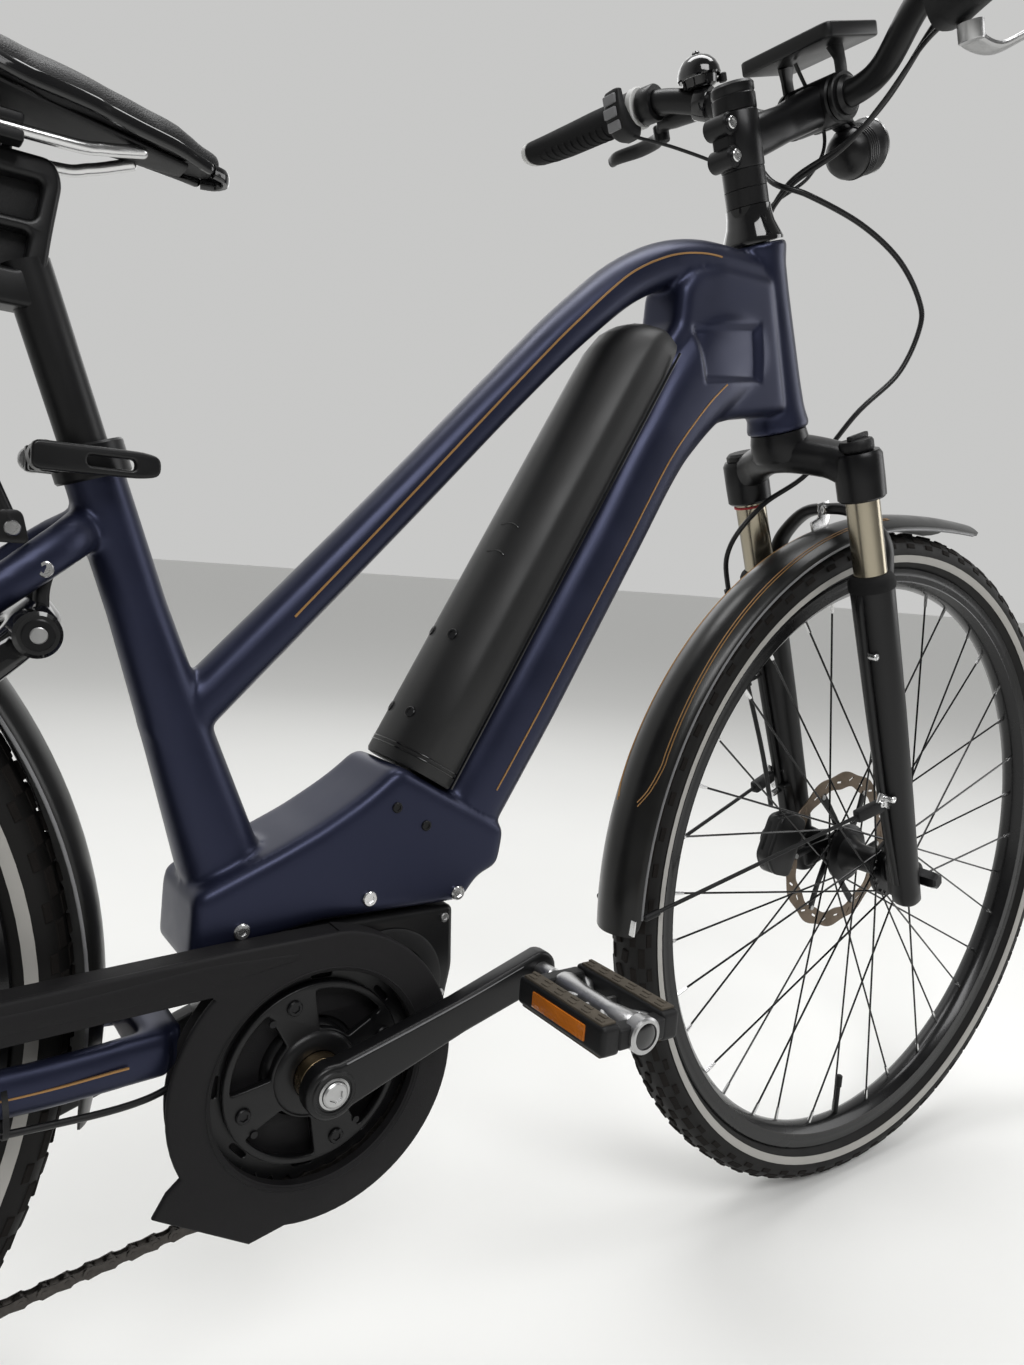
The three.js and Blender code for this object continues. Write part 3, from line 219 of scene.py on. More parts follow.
def make_materials():
    return {
        "navy": shader("navy_paint", (0.0155, 0.0185, 0.042), 0.37, metal=0.65, vary=0.14, fleck=0.12,
                       grain_scale=900, coat=0.1, coat_rough=0.4),
        "gold": shader("gold_stripe", (0.30, 0.165, 0.06), 0.42, metal=0.4, grain=0.04),
        "satin": shader("black_satin", (0.0055, 0.0055, 0.006), 0.36, metal=0.2, grain=0.05, vary=0.2),
        "alloy": shader("black_alloy", (0.0065, 0.0065, 0.0072), 0.33, metal=0.4, grain=0.04, vary=0.2),
        "gloss": shader("gloss_black", (0.0045, 0.0045, 0.005), 0.11, vary=0.2, coat=0.5,
                        coat_rough=0.04),
        "plastic": shader("moulded_plastic", (0.007, 0.007, 0.0075), 0.5, grain=0.3,
                          grain_scale=2200, shine=0.25),
        "battery": shader("battery_shell", (0.0065, 0.0065, 0.0067), 0.46, grain=0.15,
                          grain_scale=2600, spread=0.03, shine=0.42),
        "guard": shader("guard_plastic", (0.0072, 0.0068, 0.0075), 0.66, grain=0.35,
                        grain_scale=1300, vary=0.35, scale=60, shine=0.22),
        "tread": shader("tread_rubber", (0.0105, 0.009, 0.0082), 0.86, grain=0.5, grain_scale=900,
                        vary=0.4, scale=70, shine=0.12),
        "sidewall": shader("sidewall_rubber", (0.006, 0.0056, 0.0054), 0.6, grain=0.25, vary=0.35,
                           scale=45, shine=0.2),
        "stripe": shader("reflective_stripe", (0.34, 0.33, 0.31), 0.5, vary=0.12, grain=0.3,
                         grain_scale=3000),
        "rim": shader("rim_black", (0.007, 0.007, 0.0075), 0.26, metal=0.35, vary=0.25, coat=0.15),
        "steel": shader("bright_steel", (0.62, 0.62, 0.62), 0.22, metal=1.0, vary=0.12, scale=90,
                        grain=0.05),
        "nickel": shader("brushed_nickel", (0.42, 0.42, 0.42), 0.34, metal=1.0, vary=0.15,
                         scale=120, stretch=(1, 14, 1), grain=0.08),
        "chain": shader("chain_steel", (0.062, 0.057, 0.053), 0.38, metal=0.9, vary=0.5, scale=300,
                        grain=0.1),
        "rotor": shader("rotor_steel", (0.155, 0.12, 0.09), 0.36, metal=0.95, vary=0.3, scale=160,
                        grain=0.12),
        "stanchion": shader("champagne_tube", (0.33, 0.295, 0.225), 0.22, metal=0.95, vary=0.1,
                            grain=0.03),
        "fender": shader("fender_sheet", (0.0095, 0.0095, 0.0092), 0.33, metal=0.4, vary=0.25,
                         scale=40, grain=0.04, coat=0.2, coat_rough=0.25),
        "saddle": shader("saddle_leather", (0.0065, 0.0065, 0.007), 0.5, grain=0.5,
                         grain_scale=1100, cells=True, vary=0.2, shine=0.3),
        "grip": shader("grip_rubber", (0.0068, 0.0068, 0.0072), 0.76, grain=0.5, grain_scale=1600,
                       cells=True, vary=0.25, shine=0.2),
        "pad": shader("pedal_pad", (0.075, 0.064, 0.050), 0.88, grain=0.6, grain_scale=1400,
                      vary=0.3, scale=120, shine=0.2),
        "cloud": shader("pale_plastic", (0.50, 0.50, 0.49), 0.45, grain=0.1, vary=0.08),
        # Grey plastic for the control keys and the lock lever; the same grey also paints the highlights
        # along the crank edges and the fender edges
        "mist": shader("grey_plastic_and_painted_highlight", (0.16, 0.16, 0.165), 0.42, grain=0.15, vary=0.1),
        "amber": shader("amber_reflector", (0.46, 0.13, 0.012), 0.2, vary=0.45, grain=0.7,
                        grain_scale=420, cells=True, coat=0.6, coat_rough=0.05),
        "red": shader("red_rubber", (0.42, 0.025, 0.03), 0.5, vary=0.15, grain=0.1),
        "lens": shader("rear_lens", (0.30, 0.010, 0.010), 0.12, vary=0.3, grain=0.5,
                       grain_scale=520, cells=True, coat=0.9, coat_rough=0.03),
        "glass": shader("lamp_glass", (0.50, 0.52, 0.53), 0.08, vary=0.2, scale=200, grain=0.25,
                        grain_scale=600, coat=1.0, coat_rough=0.02),
        "screen": shader("display_screen", (0.005, 0.006, 0.007), 0.06, vary=0.3, coat=0.8,
                         coat_rough=0.02),
        "brass": shader("brass_ring", (0.36, 0.27, 0.16), 0.3, metal=1.0, vary=0.2, scale=90),
        "hose": shader("hose_jacket", (0.007, 0.007, 0.0075), 0.35, grain=0.1, grain_scale=2500),
    }


FINISHES = make_materials()

# ---------------------------------------------------------------- curves and sections


def smooth_path(points, steps):
    """Points spaced evenly in parameter on a Catmull-Rom curve through the given ones."""
    points = [Vector(p) for p in points]
    spans = len(points) - 1
    if spans == 1:
        return [points[0].lerp(points[1], k / steps) for k in range(steps + 1)]
    knots = [2 * points[0] - points[1], *points, 2 * points[-1] - points[-2]]
    made = []
    for k in range(steps + 1):
        place = k / steps * spans
        i = min(int(place), spans - 1)
        t = place - i
        a, b, c, d = knots[i:i + 4]
        made.append(0.5 * (2 * b + (c - a) * t + (2 * a - 5 * b + 4 * c - d) * t * t
                           + (3 * b - a - 3 * c + d) * t ** 3))
    return made


def blend_values(values, t):
    """Values set out evenly over 0 to 1, mixed smoothly at t."""
    place = t * (len(values) - 1)
    i = min(int(place), len(values) - 2)
    u = place - i
    return [a + (b - a) * u for a, b in zip(values[i], values[i + 1])]


def superellipse(high, wide, power, sides):
    ring = []
    for k in range(sides):
        turn = 2 * math.pi * k / sides
        c, s = math.cos(turn), math.sin(turn)
        ring.append((high * math.copysign(abs(c) ** (2 / power), c),
            wide * math.copysign(abs(s) ** (2 / power), s)))
    return ring


def arc(x, z, radius, start, end, steps):
    """Points on an arc, in degrees from +X towards +Z."""
    turns = [math.radians(start + (end - start) * k / steps) for k in range(steps + 1)]
    return [(x + radius * math.cos(t), z + radius * math.sin(t)) for t in turns]


def polar(radius, turn):
    """A point at a radius and a turn in radians, as (x, z)."""
    return radius * math.cos(turn), radius * math.sin(turn)


def around(radius, turn, y):
    """The same point, with its place along the axle."""
    x, z = polar(radius, turn)
    return Vector((x, y, z))


def turns(count, shift=0.0):
    """Turns in radians, spaced evenly round a circle."""
    return [2 * math.pi * (k + shift) / count for k in range(count)]


def both_ways(half, middle):
    """Half a profile, its middle point, and the half again on the other side of zero."""
    return half + [middle] + [(r, -y) for r, y in half[::-1]]


def oblong(wide, high):
    """A rectangle's corners, from half its width and half its height."""
    return [(-wide, -high), (wide, -high), (wide, high), (-wide, high)]


def sided(side, points):
    """Points of the left side, carried to the given side."""
    return [Vector((a, side * y, s)) for a, y, s in points]


def down(s, c):
    """A point of the down tube: distance s along it, height c above its lower datum line."""
    return (s * math.cos(DOWN_ANGLE) - c * math.sin(DOWN_ANGLE),
            s * math.sin(DOWN_ANGLE) + c * math.cos(DOWN_ANGLE))


def seated(t):
    """A point up the seat tube, at distance t from the bottom bracket."""
    return -6 - t * math.cos(SEAT_ANGLE), BRACKET_HEIGHT + t * math.sin(SEAT_ANGLE)


# ---------------------------------------------------------------- solids


def turned(axis):
    """A unit axis and two directions across it."""
    axis = Vector(axis).normalized()
    first = Vector(X) if abs(axis.y) > 0.99 else axis.orthogonal().normalized()
    return axis, first, axis.cross(first)


class Shape:
    """Closed shells in millimetres of one local frame, gathered into one piece."""

    def __init__(self, local=BIKE):
        self.local = local
        self.points = []
        self.faces = []

    def skin(self, rings, closed=False):
        """Skins equal rings of points, with a cap on each end. A ring of one point is a pole."""
        starts = []
        for ring in rings:
            starts.append((len(self.points), len(ring)))
            self.points.extend(Vector(p) for p in ring)
        pairs = list(zip(starts, starts[1:]))
        if closed:
            pairs.append((starts[-1], starts[0]))
        for (a, na), (b, nb) in pairs:
            n = max(na, nb)
            for i in range(n):
                j = (i + 1) % n
                if na == 1:
                    self.faces.append((a, b + j, b + i))
                elif nb == 1:
                    self.faces.append((a + i, a + j, b))
                else:
                    self.faces.append((a + i, a + j, b + j, b + i))
        if not closed:
            for start, n in (starts[0], starts[-1]):
                if n > 2:
                    self.faces.append(tuple(range(start, start + n)))
        return self

    def tube(self, path, sections, sides, steps, across=Y, ends=0.0):
        """A tube along a smooth curve. A section is a radius, or (half up, half across, power).
        ends rounds its ends off over that length."""
        if isinstance(sections, (int, float)):
            sections = [(sections, sections, 2)]
        if len(sections) == 1:
            sections = sections * 2
        spine = smooth_path(path, steps)
        side = Vector(across).normalized()
        rings = []
        for k, spot in enumerate(spine):
            along = (spine[min(steps, k + 1)] - spine[max(0, k - 1)]).normalized()
            side = (side - along * side.dot(along)).normalized()
            high, wide, power = blend_values(sections, k / steps)
            rings.append((spot, along, along.cross(side), side, superellipse(high, wide, power, sides)))
        made = [[spot + above * h + across * w for h, w in flat] for spot, _, above, across, flat in rings]
        if ends:
            first, last = [], []
            for cap, ring, sign in ((first, rings[0], -1), (last, rings[-1], 1)):
                spot, along, above, across, flat = ring
                for turn in (30, 60, 82):
                    shrink = math.cos(math.radians(turn))
                    shift = along * sign * ends * math.sin(math.radians(turn))
                    cap.append([spot + shift + (above * h + across * w) * shrink for h, w in flat])
            made = first[::-1] + made + last
        return self.skin(made)

    def lathe(self, profile, centre=(0, 0, 0), axis=Y, steps=32, closed=False, shape=None,
              start=0.0):
        """Turns (radius, height) points about an axis. shape(angle) scales the radius."""
        axis, first, second = turned(axis)
        centre = Vector(centre)
        rings = []
        for radius, height in profile:
            if radius < 1e-6:
                rings.append([centre + axis * height])
                continue
            ring = []
            for k in range(steps):
                turn = start + 2 * math.pi * k / steps
                reach = radius * (shape(turn) if shape else 1)
                out = math.cos(turn) * first + math.sin(turn) * second
                ring.append(centre + axis * height + reach * out)
            rings.append(ring)
        return self.skin(rings, closed)

    def hoop(self, section, centre=(0, 0, 0), axis=Y, steps=32, **more):
        """Turns a closed section about an axis."""
        return self.lathe(section, centre, axis, steps, closed=True, **more)

    def rod(self, a, b, radius, sides=12, end_radius=None, bevel=0.0):
        """A round bar between two points, with its edges broken by the bevel."""
        a, b = Vector(a), Vector(b)
        length = (b - a).length
        last = radius if end_radius is None else end_radius
        if bevel:
            profile = [(0, 0), (radius - bevel, 0), (radius, bevel), (last, length - bevel),
                (last - bevel, length), (0, length)]
        else:
            profile = [(0, 0), (radius, 0), (last, length), (0, length)]
        return self.lathe(profile, a, b - a, sides)

    def bolt(self, centre, axis, radius, height):
        """A screw head with a hexagon socket."""
        profile = [(0, -1), (radius, -1), (radius, height * 0.7), (radius * 0.86, height)]
        self.lathe(profile, centre, axis, 24)
        self.faces.pop()
        self.hexagon_pit(centre, axis, radius * 0.5, height, height * 0.35)
        return self

    def bolt_pair(self, spot, radius, height):
        """A screw head on each side of the bicycle, facing outwards."""
        for side in (-1, 1):
            self.bolt(sided(side, [spot])[0], (0, side, 0), radius, height)
        return self

    def hexagon_pit(self, centre, axis, key, height, depth):
        """Closes the last ring of 24 points with a hexagon socket."""
        base = len(self.points) - 24
        axis, first, second = turned(axis)
        for level in (height, height - depth):
            for turn in turns(24):
                reach = key / math.cos((turn + math.pi / 6) % (math.pi / 3) - math.pi / 6)
                out = math.cos(turn) * first + math.sin(turn) * second
                self.points.append(Vector(centre) + axis * level + reach * out)
        for row in (0, 1):
            a, b = base + 24 * row, base + 24 * (row + 1)
            for i in range(24):
                j = (i + 1) % 24
                self.faces.append((a + i, a + j, b + j, b + i))
        self.faces.append(tuple(range(base + 48, base + 72)))

    def block(self, size, centre, turn=0, bevel=1.0, segments=2):
        """A box with rounded edges; turn is in degrees about Y."""
        cube = bmesh.new()
        bmesh.ops.create_cube(cube, size=1.0)
        bmesh.ops.scale(cube, vec=size, verts=cube.verts)
        if bevel:
            bmesh.ops.bevel(cube, geom=cube.edges[:], offset=bevel, segments=segments, profile=0.6,
                affect="EDGES")
        lean = Matrix.Rotation(math.radians(turn), 4, "Y")
        self.absorb(cube, Matrix.Translation(centre) @ lean)
        cube.free()
        return self

    def plate(self, outline, low, high, holes=(), bevel=0.6, steps=2, place=None):
        """A flat plate: an outline in x and z between two values of y, and its holes."""
        curve = bpy.data.curves.new("outline", "CURVE")
        curve.dimensions = "2D"
        curve.fill_mode = "BOTH"
        curve.extrude = (high - low) / 2 - bevel
        curve.bevel_depth = bevel
        curve.bevel_resolution = steps - 1
        curve.offset = -bevel
        for loop in (outline, *holes):
            spline = curve.splines.new("POLY")
            spline.points.add(len(loop) - 1)
            spline.points.foreach_set("co", [v for x, z in loop for v in (x, z, 0, 1)])
            spline.use_cyclic_u = True
        drawn = bpy.data.objects.new("outline", curve)
        mesh = bpy.data.meshes.new_from_object(drawn)
        flat = bmesh.new()
        flat.from_mesh(mesh)
        bmesh.ops.remove_doubles(flat, verts=flat.verts, dist=1e-4)
        stand = Matrix(((1, 0, 0, 0), (0, 0, -1, (low + high) / 2), (0, 1, 0, 0), (0, 0, 0, 1)))
        self.absorb(flat, (place or Matrix.Identity(4)) @ stand)
        flat.free()
        bpy.data.objects.remove(drawn)
        bpy.data.curves.remove(curve)
        bpy.data.meshes.remove(mesh)
        return self

    def absorb(self, other, place):
        base = len(self.points)
        other.verts.ensure_lookup_table()
        for i, vertex in enumerate(other.verts):
            vertex.index = i
            self.points.append(place @ vertex.co)
        for face in other.faces:
            self.faces.append(tuple(base + v.index for v in face.verts))

    def points_added(self, other, place):
        """Takes in another shape's shells, moved by a matrix."""
        base = len(self.points)
        self.points += [place @ p for p in other.points]
        self.faces += [tuple(base + i for i in face) for face in other.faces]
        return self

    def both_sides(self):
        """Adds the same shells again on the other side."""
        twin = Shape()
        twin.points, twin.faces = list(self.points), list(self.faces)
        return self.points_added(twin, Matrix.Diagonal((1, -1, 1, 1)))

    def make(self, name, body, finish, *replaces, sharp=34):
        """Draws the piece on its body with its finish, in place of the named CAD nodes."""
        mesh = bpy.data.meshes.new(name)
        mesh.from_pydata([self.local @ p for p in self.points], [], self.faces)
        drawn = bmesh.new()
        drawn.from_mesh(mesh)
        bmesh.ops.recalc_face_normals(drawn, faces=drawn.faces)
        drawn.to_mesh(mesh)
        drawn.free()
        mesh.shade_smooth()
        mesh.set_sharp_from_angle(angle=math.radians(sharp))
        mesh.materials.append(FINISHES[finish])
        piece = bpy.data.objects.new(name, mesh)
        bpy.context.scene.collection.objects.link(piece)
        if body:
            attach(piece, body)
        if replaces:
            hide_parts(*replaces)
        return piece


# ---------------------------------------------------------------- wheels


def add_tyre(end, local):
    wheel, name = end + "_wheel", end + "_tyre_skin"
    half = [(318.5, 13), (323, 19.5), (330, 22.7), (338, 23.2), (345, 20.4), (350, 15.5), (352.4, 9)]
    inner = [(316.9, -12), (317.2, 0), (316.9, 12)]
    casing = Shape(local).hoop(both_ways(half, (353, 0)) + inner, steps=144)
    casing.make(name + "_casing", wheel, "sidewall", end + "_tyre", sharp=60)
    tread = Shape(local)
    for turn in turns(TREAD_PITCHES):
        add_knobs(tread, turn, 2 * math.pi / TREAD_PITCHES)
    tread.make(name + "_tread", wheel, "tread", sharp=30)
    stripe = Shape(local)
    band = [(324.5, 20.9), (331.5, 23.0), (331.7, 23.5), (328, 22.9), (324.3, 21.3)]
    for side in (-1, 1):
        stripe.hoop([(r, side * y) for r, y in band], steps=128)
    stripe.make(name + "_reflective_bands", wheel, "stripe", sharp=50)


def add_knobs(tread, turn, pitch):
    """One pitch of the tread: a centre lug, a middle lug and two shoulder lugs on each side."""
    for side in (-1, 1):
        shift = turn + (pitch / 2 if side > 0 else 0)
        add_lug(tread, shift, side * 3.8, 352.2, (13, 6.4, 5.0), 0, side * 0.25)
        add_lug(tread, shift + pitch * 0.5, side * 11.2, 349.8, (14, 6.2, 5.4), side * 32, 0)
        add_lug(tread, shift, side * 17.2, 345.4, (20, 6.8, 5.4), side * 50, 0)
        add_lug(tread, shift + pitch * 0.5, side * 20.9, 340.4, (13, 5.4, 4.4), side * 66, 0)


def add_lug(tread, turn, y, radius, size, lean, skew):
    """A rubber block on the tyre: size is along the tread, across it and outwards."""
    spin = Matrix.Rotation(-turn, 3, "Y")
    tilt = Matrix.Rotation(math.radians(-lean), 3, "X") @ Matrix.Rotation(skew, 3, "Z")
    base = Vector((0, y, radius))
    length, width, height = size
    corners = []
    for z, shrink in ((-height / 2, 1.0), (height / 2 - 0.7, 0.94), (height / 2, 0.82)):
        for x, w in ((-1, -1), (1, -1), (1, 1), (-1, 1)):
            corner = Vector((x * length / 2 * shrink, w * width / 2 * shrink, z))
            corners.append(spin @ (base + tilt @ corner))
    tread.skin([corners[0:4], corners[4:8], corners[8:12]])


def add_rim(end, local):
    half = [(296.6, 4.6), (299, 9), (303.6, 13.7), (305, 13.4), (309.4, 14.9), (311, 14.6), (317, 15.6),
            (318.6, 14.6), (318.6, 12.4), (315, 11.8)]
    wall = both_ways(half[::-1], (296.0, 0))
    Shape(local).hoop(wall, steps=144).make(end + "_rim_skin", end + "_wheel", "rim", end + "_rim")


def spoke_ends(index, flanges):
    """The hub end and the rim end of a spoke that crosses its neighbours."""
    y = flanges[index % 2]
    way = 1 if (index // 2) % 2 else -1
    rim_turn = 2 * math.pi * index / SPOKES
    near = around(28.5, rim_turn + way * math.radians(62), y + math.copysign(2.08, y))
    return near, around(295.5, rim_turn, math.copysign(3.2, y))


def add_spokes(end, local, flanges):
    wheel = end + "_wheel"
    spokes, nipples = Shape(local), Shape(local)
    for index in range(SPOKES):
        near, far = spoke_ends(index, flanges)
        along = (far - near).normalized()
        spokes.rod(near, far, 1.05, 8)
        inward = Vector((0, -math.copysign(2.2, near.y), 0))
        spokes.rod(near - inward, near + inward, 1.9, 8)
        nipples.rod(far - along * 12, far + along * 1.5, 1.75, 6, 2.1)
    spokes.make(wheel + "_spokes", wheel, "rim")
    nipples.make(wheel + "_nipples", wheel, "steel")


def add_hub(end, local, flanges, reach):
    """A hub shell with two flanges; reach is how far it goes past each of them."""
    (right, left), wheel = flanges, end + "_wheel"
    flange = [(19, -3.2), (31.2, -2.2), (32.2, -1.4), (32.2, 1.4), (31.2, 2.2), (21, 4), (15.6, 12),
        (14.4, 20)]
    low, high = right - reach[0], left + reach[1]
    shell = [(0, low), (15, low), (16.5, low + 2), (17, right - 5)] + [(r, right + y) for r, y in flange]
    shell += [(r, left - y) for r, y in flange[::-1]]
    shell += [(18, left + 5), (18, high - 2), (16, high), (0, high)]
    Shape(local).lathe(shell, steps=64).make(end + "_hub_skin", wheel, "alloy", end + "_hub")
    heads = Shape(local)
    for index in range(SPOKES):
        near, _ = spoke_ends(index, flanges)
        out = Vector((0, math.copysign(1, near.y), 0))
        heads.lathe([(0, -0.6), (2.1, -0.6), (1.7, 0.7), (0, 1.1)], near + out * 0.4, out, 10)
    heads.make(end + "_hub_skin_spoke_heads", wheel, "nickel")


def add_rotor(end, local, y, *node):
    """A wave disc with slots on a black spider."""
    name, wheel = end + "_rotor_disc", end + "_wheel"
    outer = [polar(88.4 + 1.4 * math.cos(12 * turn), turn) for turn in turns(180)]
    inner = [polar(71.5 + 1.6 * math.cos(12 * turn + 2), turn) for turn in turns(180)]
    slots = [slot_outline(79.8 + (1.4 if k % 2 else -1.2), turn, 8.5, 2.2, 0.6 if k % 2 else -0.1)
             for k, turn in enumerate(turns(24, 0.5))]
    disc = Shape(local).plate(outer, y - 0.9, y + 0.9, [inner] + slots, bevel=0.25, steps=1)
    disc.make(name, wheel, "rotor", *node, sharp=30)
    arms, rivets = Shape(local), Shape(local)
    for turn in turns(6):
        arms.tube([around(21, turn - 0.5, y), around(48, turn - 0.14, y), around(74.5, turn, y)],
            [(5.2, 1.3, 5), (3.6, 1.3, 5), (4.6, 1.3, 5)], sides=12, steps=10)
        rivets.lathe([(0, -2.2), (2.6, -2.2), (3, -1.4), (3, 1.4), (2.6, 2.2), (0, 2.2)],
            around(72.5, turn, y), steps=16)
    arms.hoop([(14, -2), (23, -2), (24, -1), (24, 1), (23, 2), (14, 2)], (0, y, 0), steps=48)
    arms.make(name + "_spider", wheel, "alloy")
    rivets.make(name + "_rivets", wheel, "nickel")


def slot_outline(radius, turn, length, width, lean=0.0):
    """A rounded slot round a radius, as (x, z) points."""
    swings = [math.pi * (k / 6 - 0.5) for k in range(7)]
    points = [((length - width) / 2 * end + end * width / 2 * math.cos(swing),
        end * width / 2 * math.sin(swing)) for end in (1, -1) for swing in swings]
    c, s = polar(1, turn + math.pi / 2 + lean)
    x0, z0 = polar(radius, turn)
    return [(x0 + x * c - z * s, z0 + x * s + z * c) for x, z in points]


def add_wheels():
    """Both wheels: the hub's flanges, its reach past them, the rotor's place and the node it replaces."""
    for end, local, flanges, reach, disc, node in (
            ("front", FRONT, (-30, 24), (16, 22), 36, ["front_rotor"]),
            ("rear", REAR, (-19, 31), (8, 34), 44, [])):
        add_tyre(end, local)
        add_rim(end, local)
        add_spokes(end, local, flanges)
        add_hub(end, local, flanges, reach)
        add_rotor(end, local, disc, *node)
        valve = Shape(local).rod((0, 0, -298), (0, 0, -264), 2.6, 12)
        valve.rod((0, 0, -266), (0, 0, -252), 3.6, 12, bevel=1)
        valve.make(end + "_valve", end + "_wheel", "plastic")


# ---------------------------------------------------------------- frame


TOP_TUBE = [(-96, 515), (-5, 610), (66, 685), (144, 769), (205, 832), (262, 880), (320, 904), (398, 908)]
TOP_SECTIONS = [(17, 18, 2.2), (16, 18, 2.4), (16, 18, 2.4), (16, 19, 2.4), (17, 20, 2.4), (18, 21, 2.3),
    (19, 23, 2.2), (22, 23, 2)]
DOWN_PATH = [down(468, 109), down(560, 109), down(700, 109), down(800, 109), (344, 822), (402, 852)]
DOWN_SECTIONS = [(31, 36, 3), (31, 39, 3.2), (31, 39, 3.2), (33, 38, 3.2), (46, 34, 2.8), (57, 26, 2.4)]


def flat_path(points):
    return [(x, 0, z) for x, z in points]


def main_tubes():
    top = Shape().tube(flat_path(TOP_TUBE), TOP_SECTIONS, sides=40, steps=48)
    lower = Shape().tube(flat_path(DOWN_PATH), DOWN_SECTIONS, sides=48, steps=48)
    gusset = [down(835, 78), (354, 777), (378, 785), (422, 794), (438, 800), (404, 908), (340, 905),
        (308, 893), (297, 878), (296, 850), down(870, 150), down(835, 134)]
    lower.plate(gusset, -26, 26, bevel=9, steps=4)
    seat = Shape().tube(flat_path([seated(t) for t in (146, 230, 320, 416)]),
        [(27, 26, 2.4), (22, 22, 2.2), (18, 18.5, 2), (17.4, 17.4, 2)], sides=40, steps=30)
    head = Shape(STEER).lathe([(0, 478), (27.4, 478), (28.6, 481), (27, 488), (25.6, 498), (25, 520),
        (25, 596), (25.6, 620), (27.4, 631), (28.4, 636), (27.4, 639), (0, 639)], axis=Z, steps=56)
    return [top, lower, seat, head]


def cradle_shape():
    cradle = [(-82, 372), (-80, 424), (-24, 448), (3, 461), (25, 474), (40, 484), down(467, 188),
        down(467, 80), (150, 417), (132, 411), (120, 394), (5, 394), (-56, 384)]
    return Shape().plate(rounded(cradle, 8), -39, 39, bevel=9, steps=5)


def stay_shapes():
    stays = Shape()
    lower = [(-96, 40, 329), (-187, 46, 327), (-330, 58, 337), (-470, 70.5, 350)]
    upper = [(-142, 6, 646), (-172, 30, 624), (-300, 46, 522), (-458, 70.5, 398)]
    stays.tube(lower, [(16, 8.6, 2.4), (15, 8.2, 2.2), (13, 8.2, 2.2), (11.4, 5, 2.4)], sides=24,
        steps=36, ends=3)
    stays.tube(upper, [(13, 10.6, 2.2), (12, 9.6, 2.2), (9.6, 8.6, 2), (8.6, 5, 2.2)], sides=24, steps=40,
        ends=3)
    outline = [(-440, 342), (-455, 332), (-500, 334), (-518, 350), (-514, 378), (-492, 392), (-462, 392),
        (-452, 372)]
    stays.plate(rounded(outline, 7), 66.6, 74.4, bevel=1.4)
    stays.both_sides()
    stays.block((26, 84, 30), (-98, 0, 330), bevel=6, segments=4)
    stays.block((20, 16, 34), (-412, 72, 333), bevel=2)
    return [stays]


PANEL = [(310, 849), (322, 804), (398, 818), (390, 866)]


def inside(x, z, polygon):
    """How far a point lies inside a polygon's edges, in its own units. Negative is outside."""
    middle = (sum(p[0] for p in polygon) / len(polygon), sum(p[1] for p in polygon) / len(polygon))
    depth = 1e9
    for a, b in zip(polygon, polygon[1:] + polygon[:1]):
        edge = Vector(b) - Vector(a)
        normal = Vector((-edge.y, edge.x)).normalized()
        if normal.dot(Vector(middle) - Vector(a)) < 0:
            normal = -normal
        depth = min(depth, normal.dot(Vector((x, z)) - Vector(a)))
    return depth


def add_frame_shell():
    """The welded frame: every tube in one skin, with soft fillets and a dished panel at the head."""
    shell = Shape()
    for shape in [*main_tubes(), cradle_shape(), *stay_shapes()]:
        shell.points_added(shape, BIKE.inverted() @ shape.local)
    piece = shell.make("frame_shell", "frame", "navy", "top_tube", "down_tube", "head_tube", "seat_tube",
        "motor_cradle", "chainstays", "seatstays")
    bake_soft(piece, 0.0022, 14)
    to_bike = BIKE.inverted()
    for vertex in piece.data.vertices:
        spot = to_bike @ vertex.co
        if abs(spot.y) > 14 and spot.x > 300:
            depth = max(0, min(1, (inside(spot.x, spot.z, PANEL) + 2) / 9))
            push = 5.0 * depth * depth * (3 - 2 * depth)
            vertex.co.y -= math.copysign(push * 0.001, spot.y)


def bake_soft(piece, voxel, rounds):
    """Remeshes a piece evenly and rounds its inner and outer corners off."""
    remesh = piece.modifiers.new("even", "REMESH")
    remesh.mode = "VOXEL"
    remesh.voxel_size = voxel
    soften = piece.modifiers.new("soften", "SMOOTH")
    soften.factor = 0.5
    soften.iterations = rounds
    shaped = bpy.data.meshes.new_from_object(piece.evaluated_get(bpy.context.evaluated_depsgraph_get()))
    piece.modifiers.clear()
    piece.data = shaped
    shaped.shade_smooth()


def side_of(section, height):
    """Half the width of a superellipse tube at a height above its middle."""
    high, wide, power = section
    share = min(0.999, abs(height) / high)
    return wide * (1 - share ** power) ** (1 / power)


def stripe_on(tube_path, sections, heights, first, last, side):
    """A stripe along the side of a tube; heights are above its middle, along its length."""
    steps = 40
    spine = smooth_path([(x, 0, z) for x, z in tube_path], 96)
    points = []
    for k in range(steps + 1):
        t = first + (last - first) * k / steps
        spot = spine[int(round(t * 96))]
        before, after = spine[max(0, int(round(t * 96)) - 1)], spine[min(96, int(round(t * 96)) + 1)]
        along = (after - before).normalized()
        above = Vector((-along.z, 0, along.x))
        height = blend_values([(h,) for h in heights], k / steps)[0]
        section = blend_values(sections, t)
        points.append(spot + above * height + Vector((0, side * (side_of(section, height) - 0.25), 0)))
    return points


def add_frame_lines():
    lines = Shape()
    for side in (-1, 1):
        crown = stripe_on(TOP_TUBE, TOP_SECTIONS, (0, 1, 2, 3, 4, 6, 5, 3), 0.12, 0.90, side)
        lines.tube(crown, [(0.8, 0.7, 4)], sides=8, steps=60)
        lower = stripe_on(DOWN_PATH, DOWN_SECTIONS, (-5, -5, -6, -8, -14), 0.04, 0.78, side)
        lines.tube(lower, [(0.7, 0.7, 4)], sides=8, steps=60)
        stay = [(-120, 329, 52), (-187, 327, 53.6), (-330, 337, 65.4), (-430, 346, 74)]
        lines.tube([(x, side * y, z) for x, z, y in stay], [(0.7, 0.8, 4)], sides=8, steps=30)
    lines.make("frame_stripes", "frame", "gold")


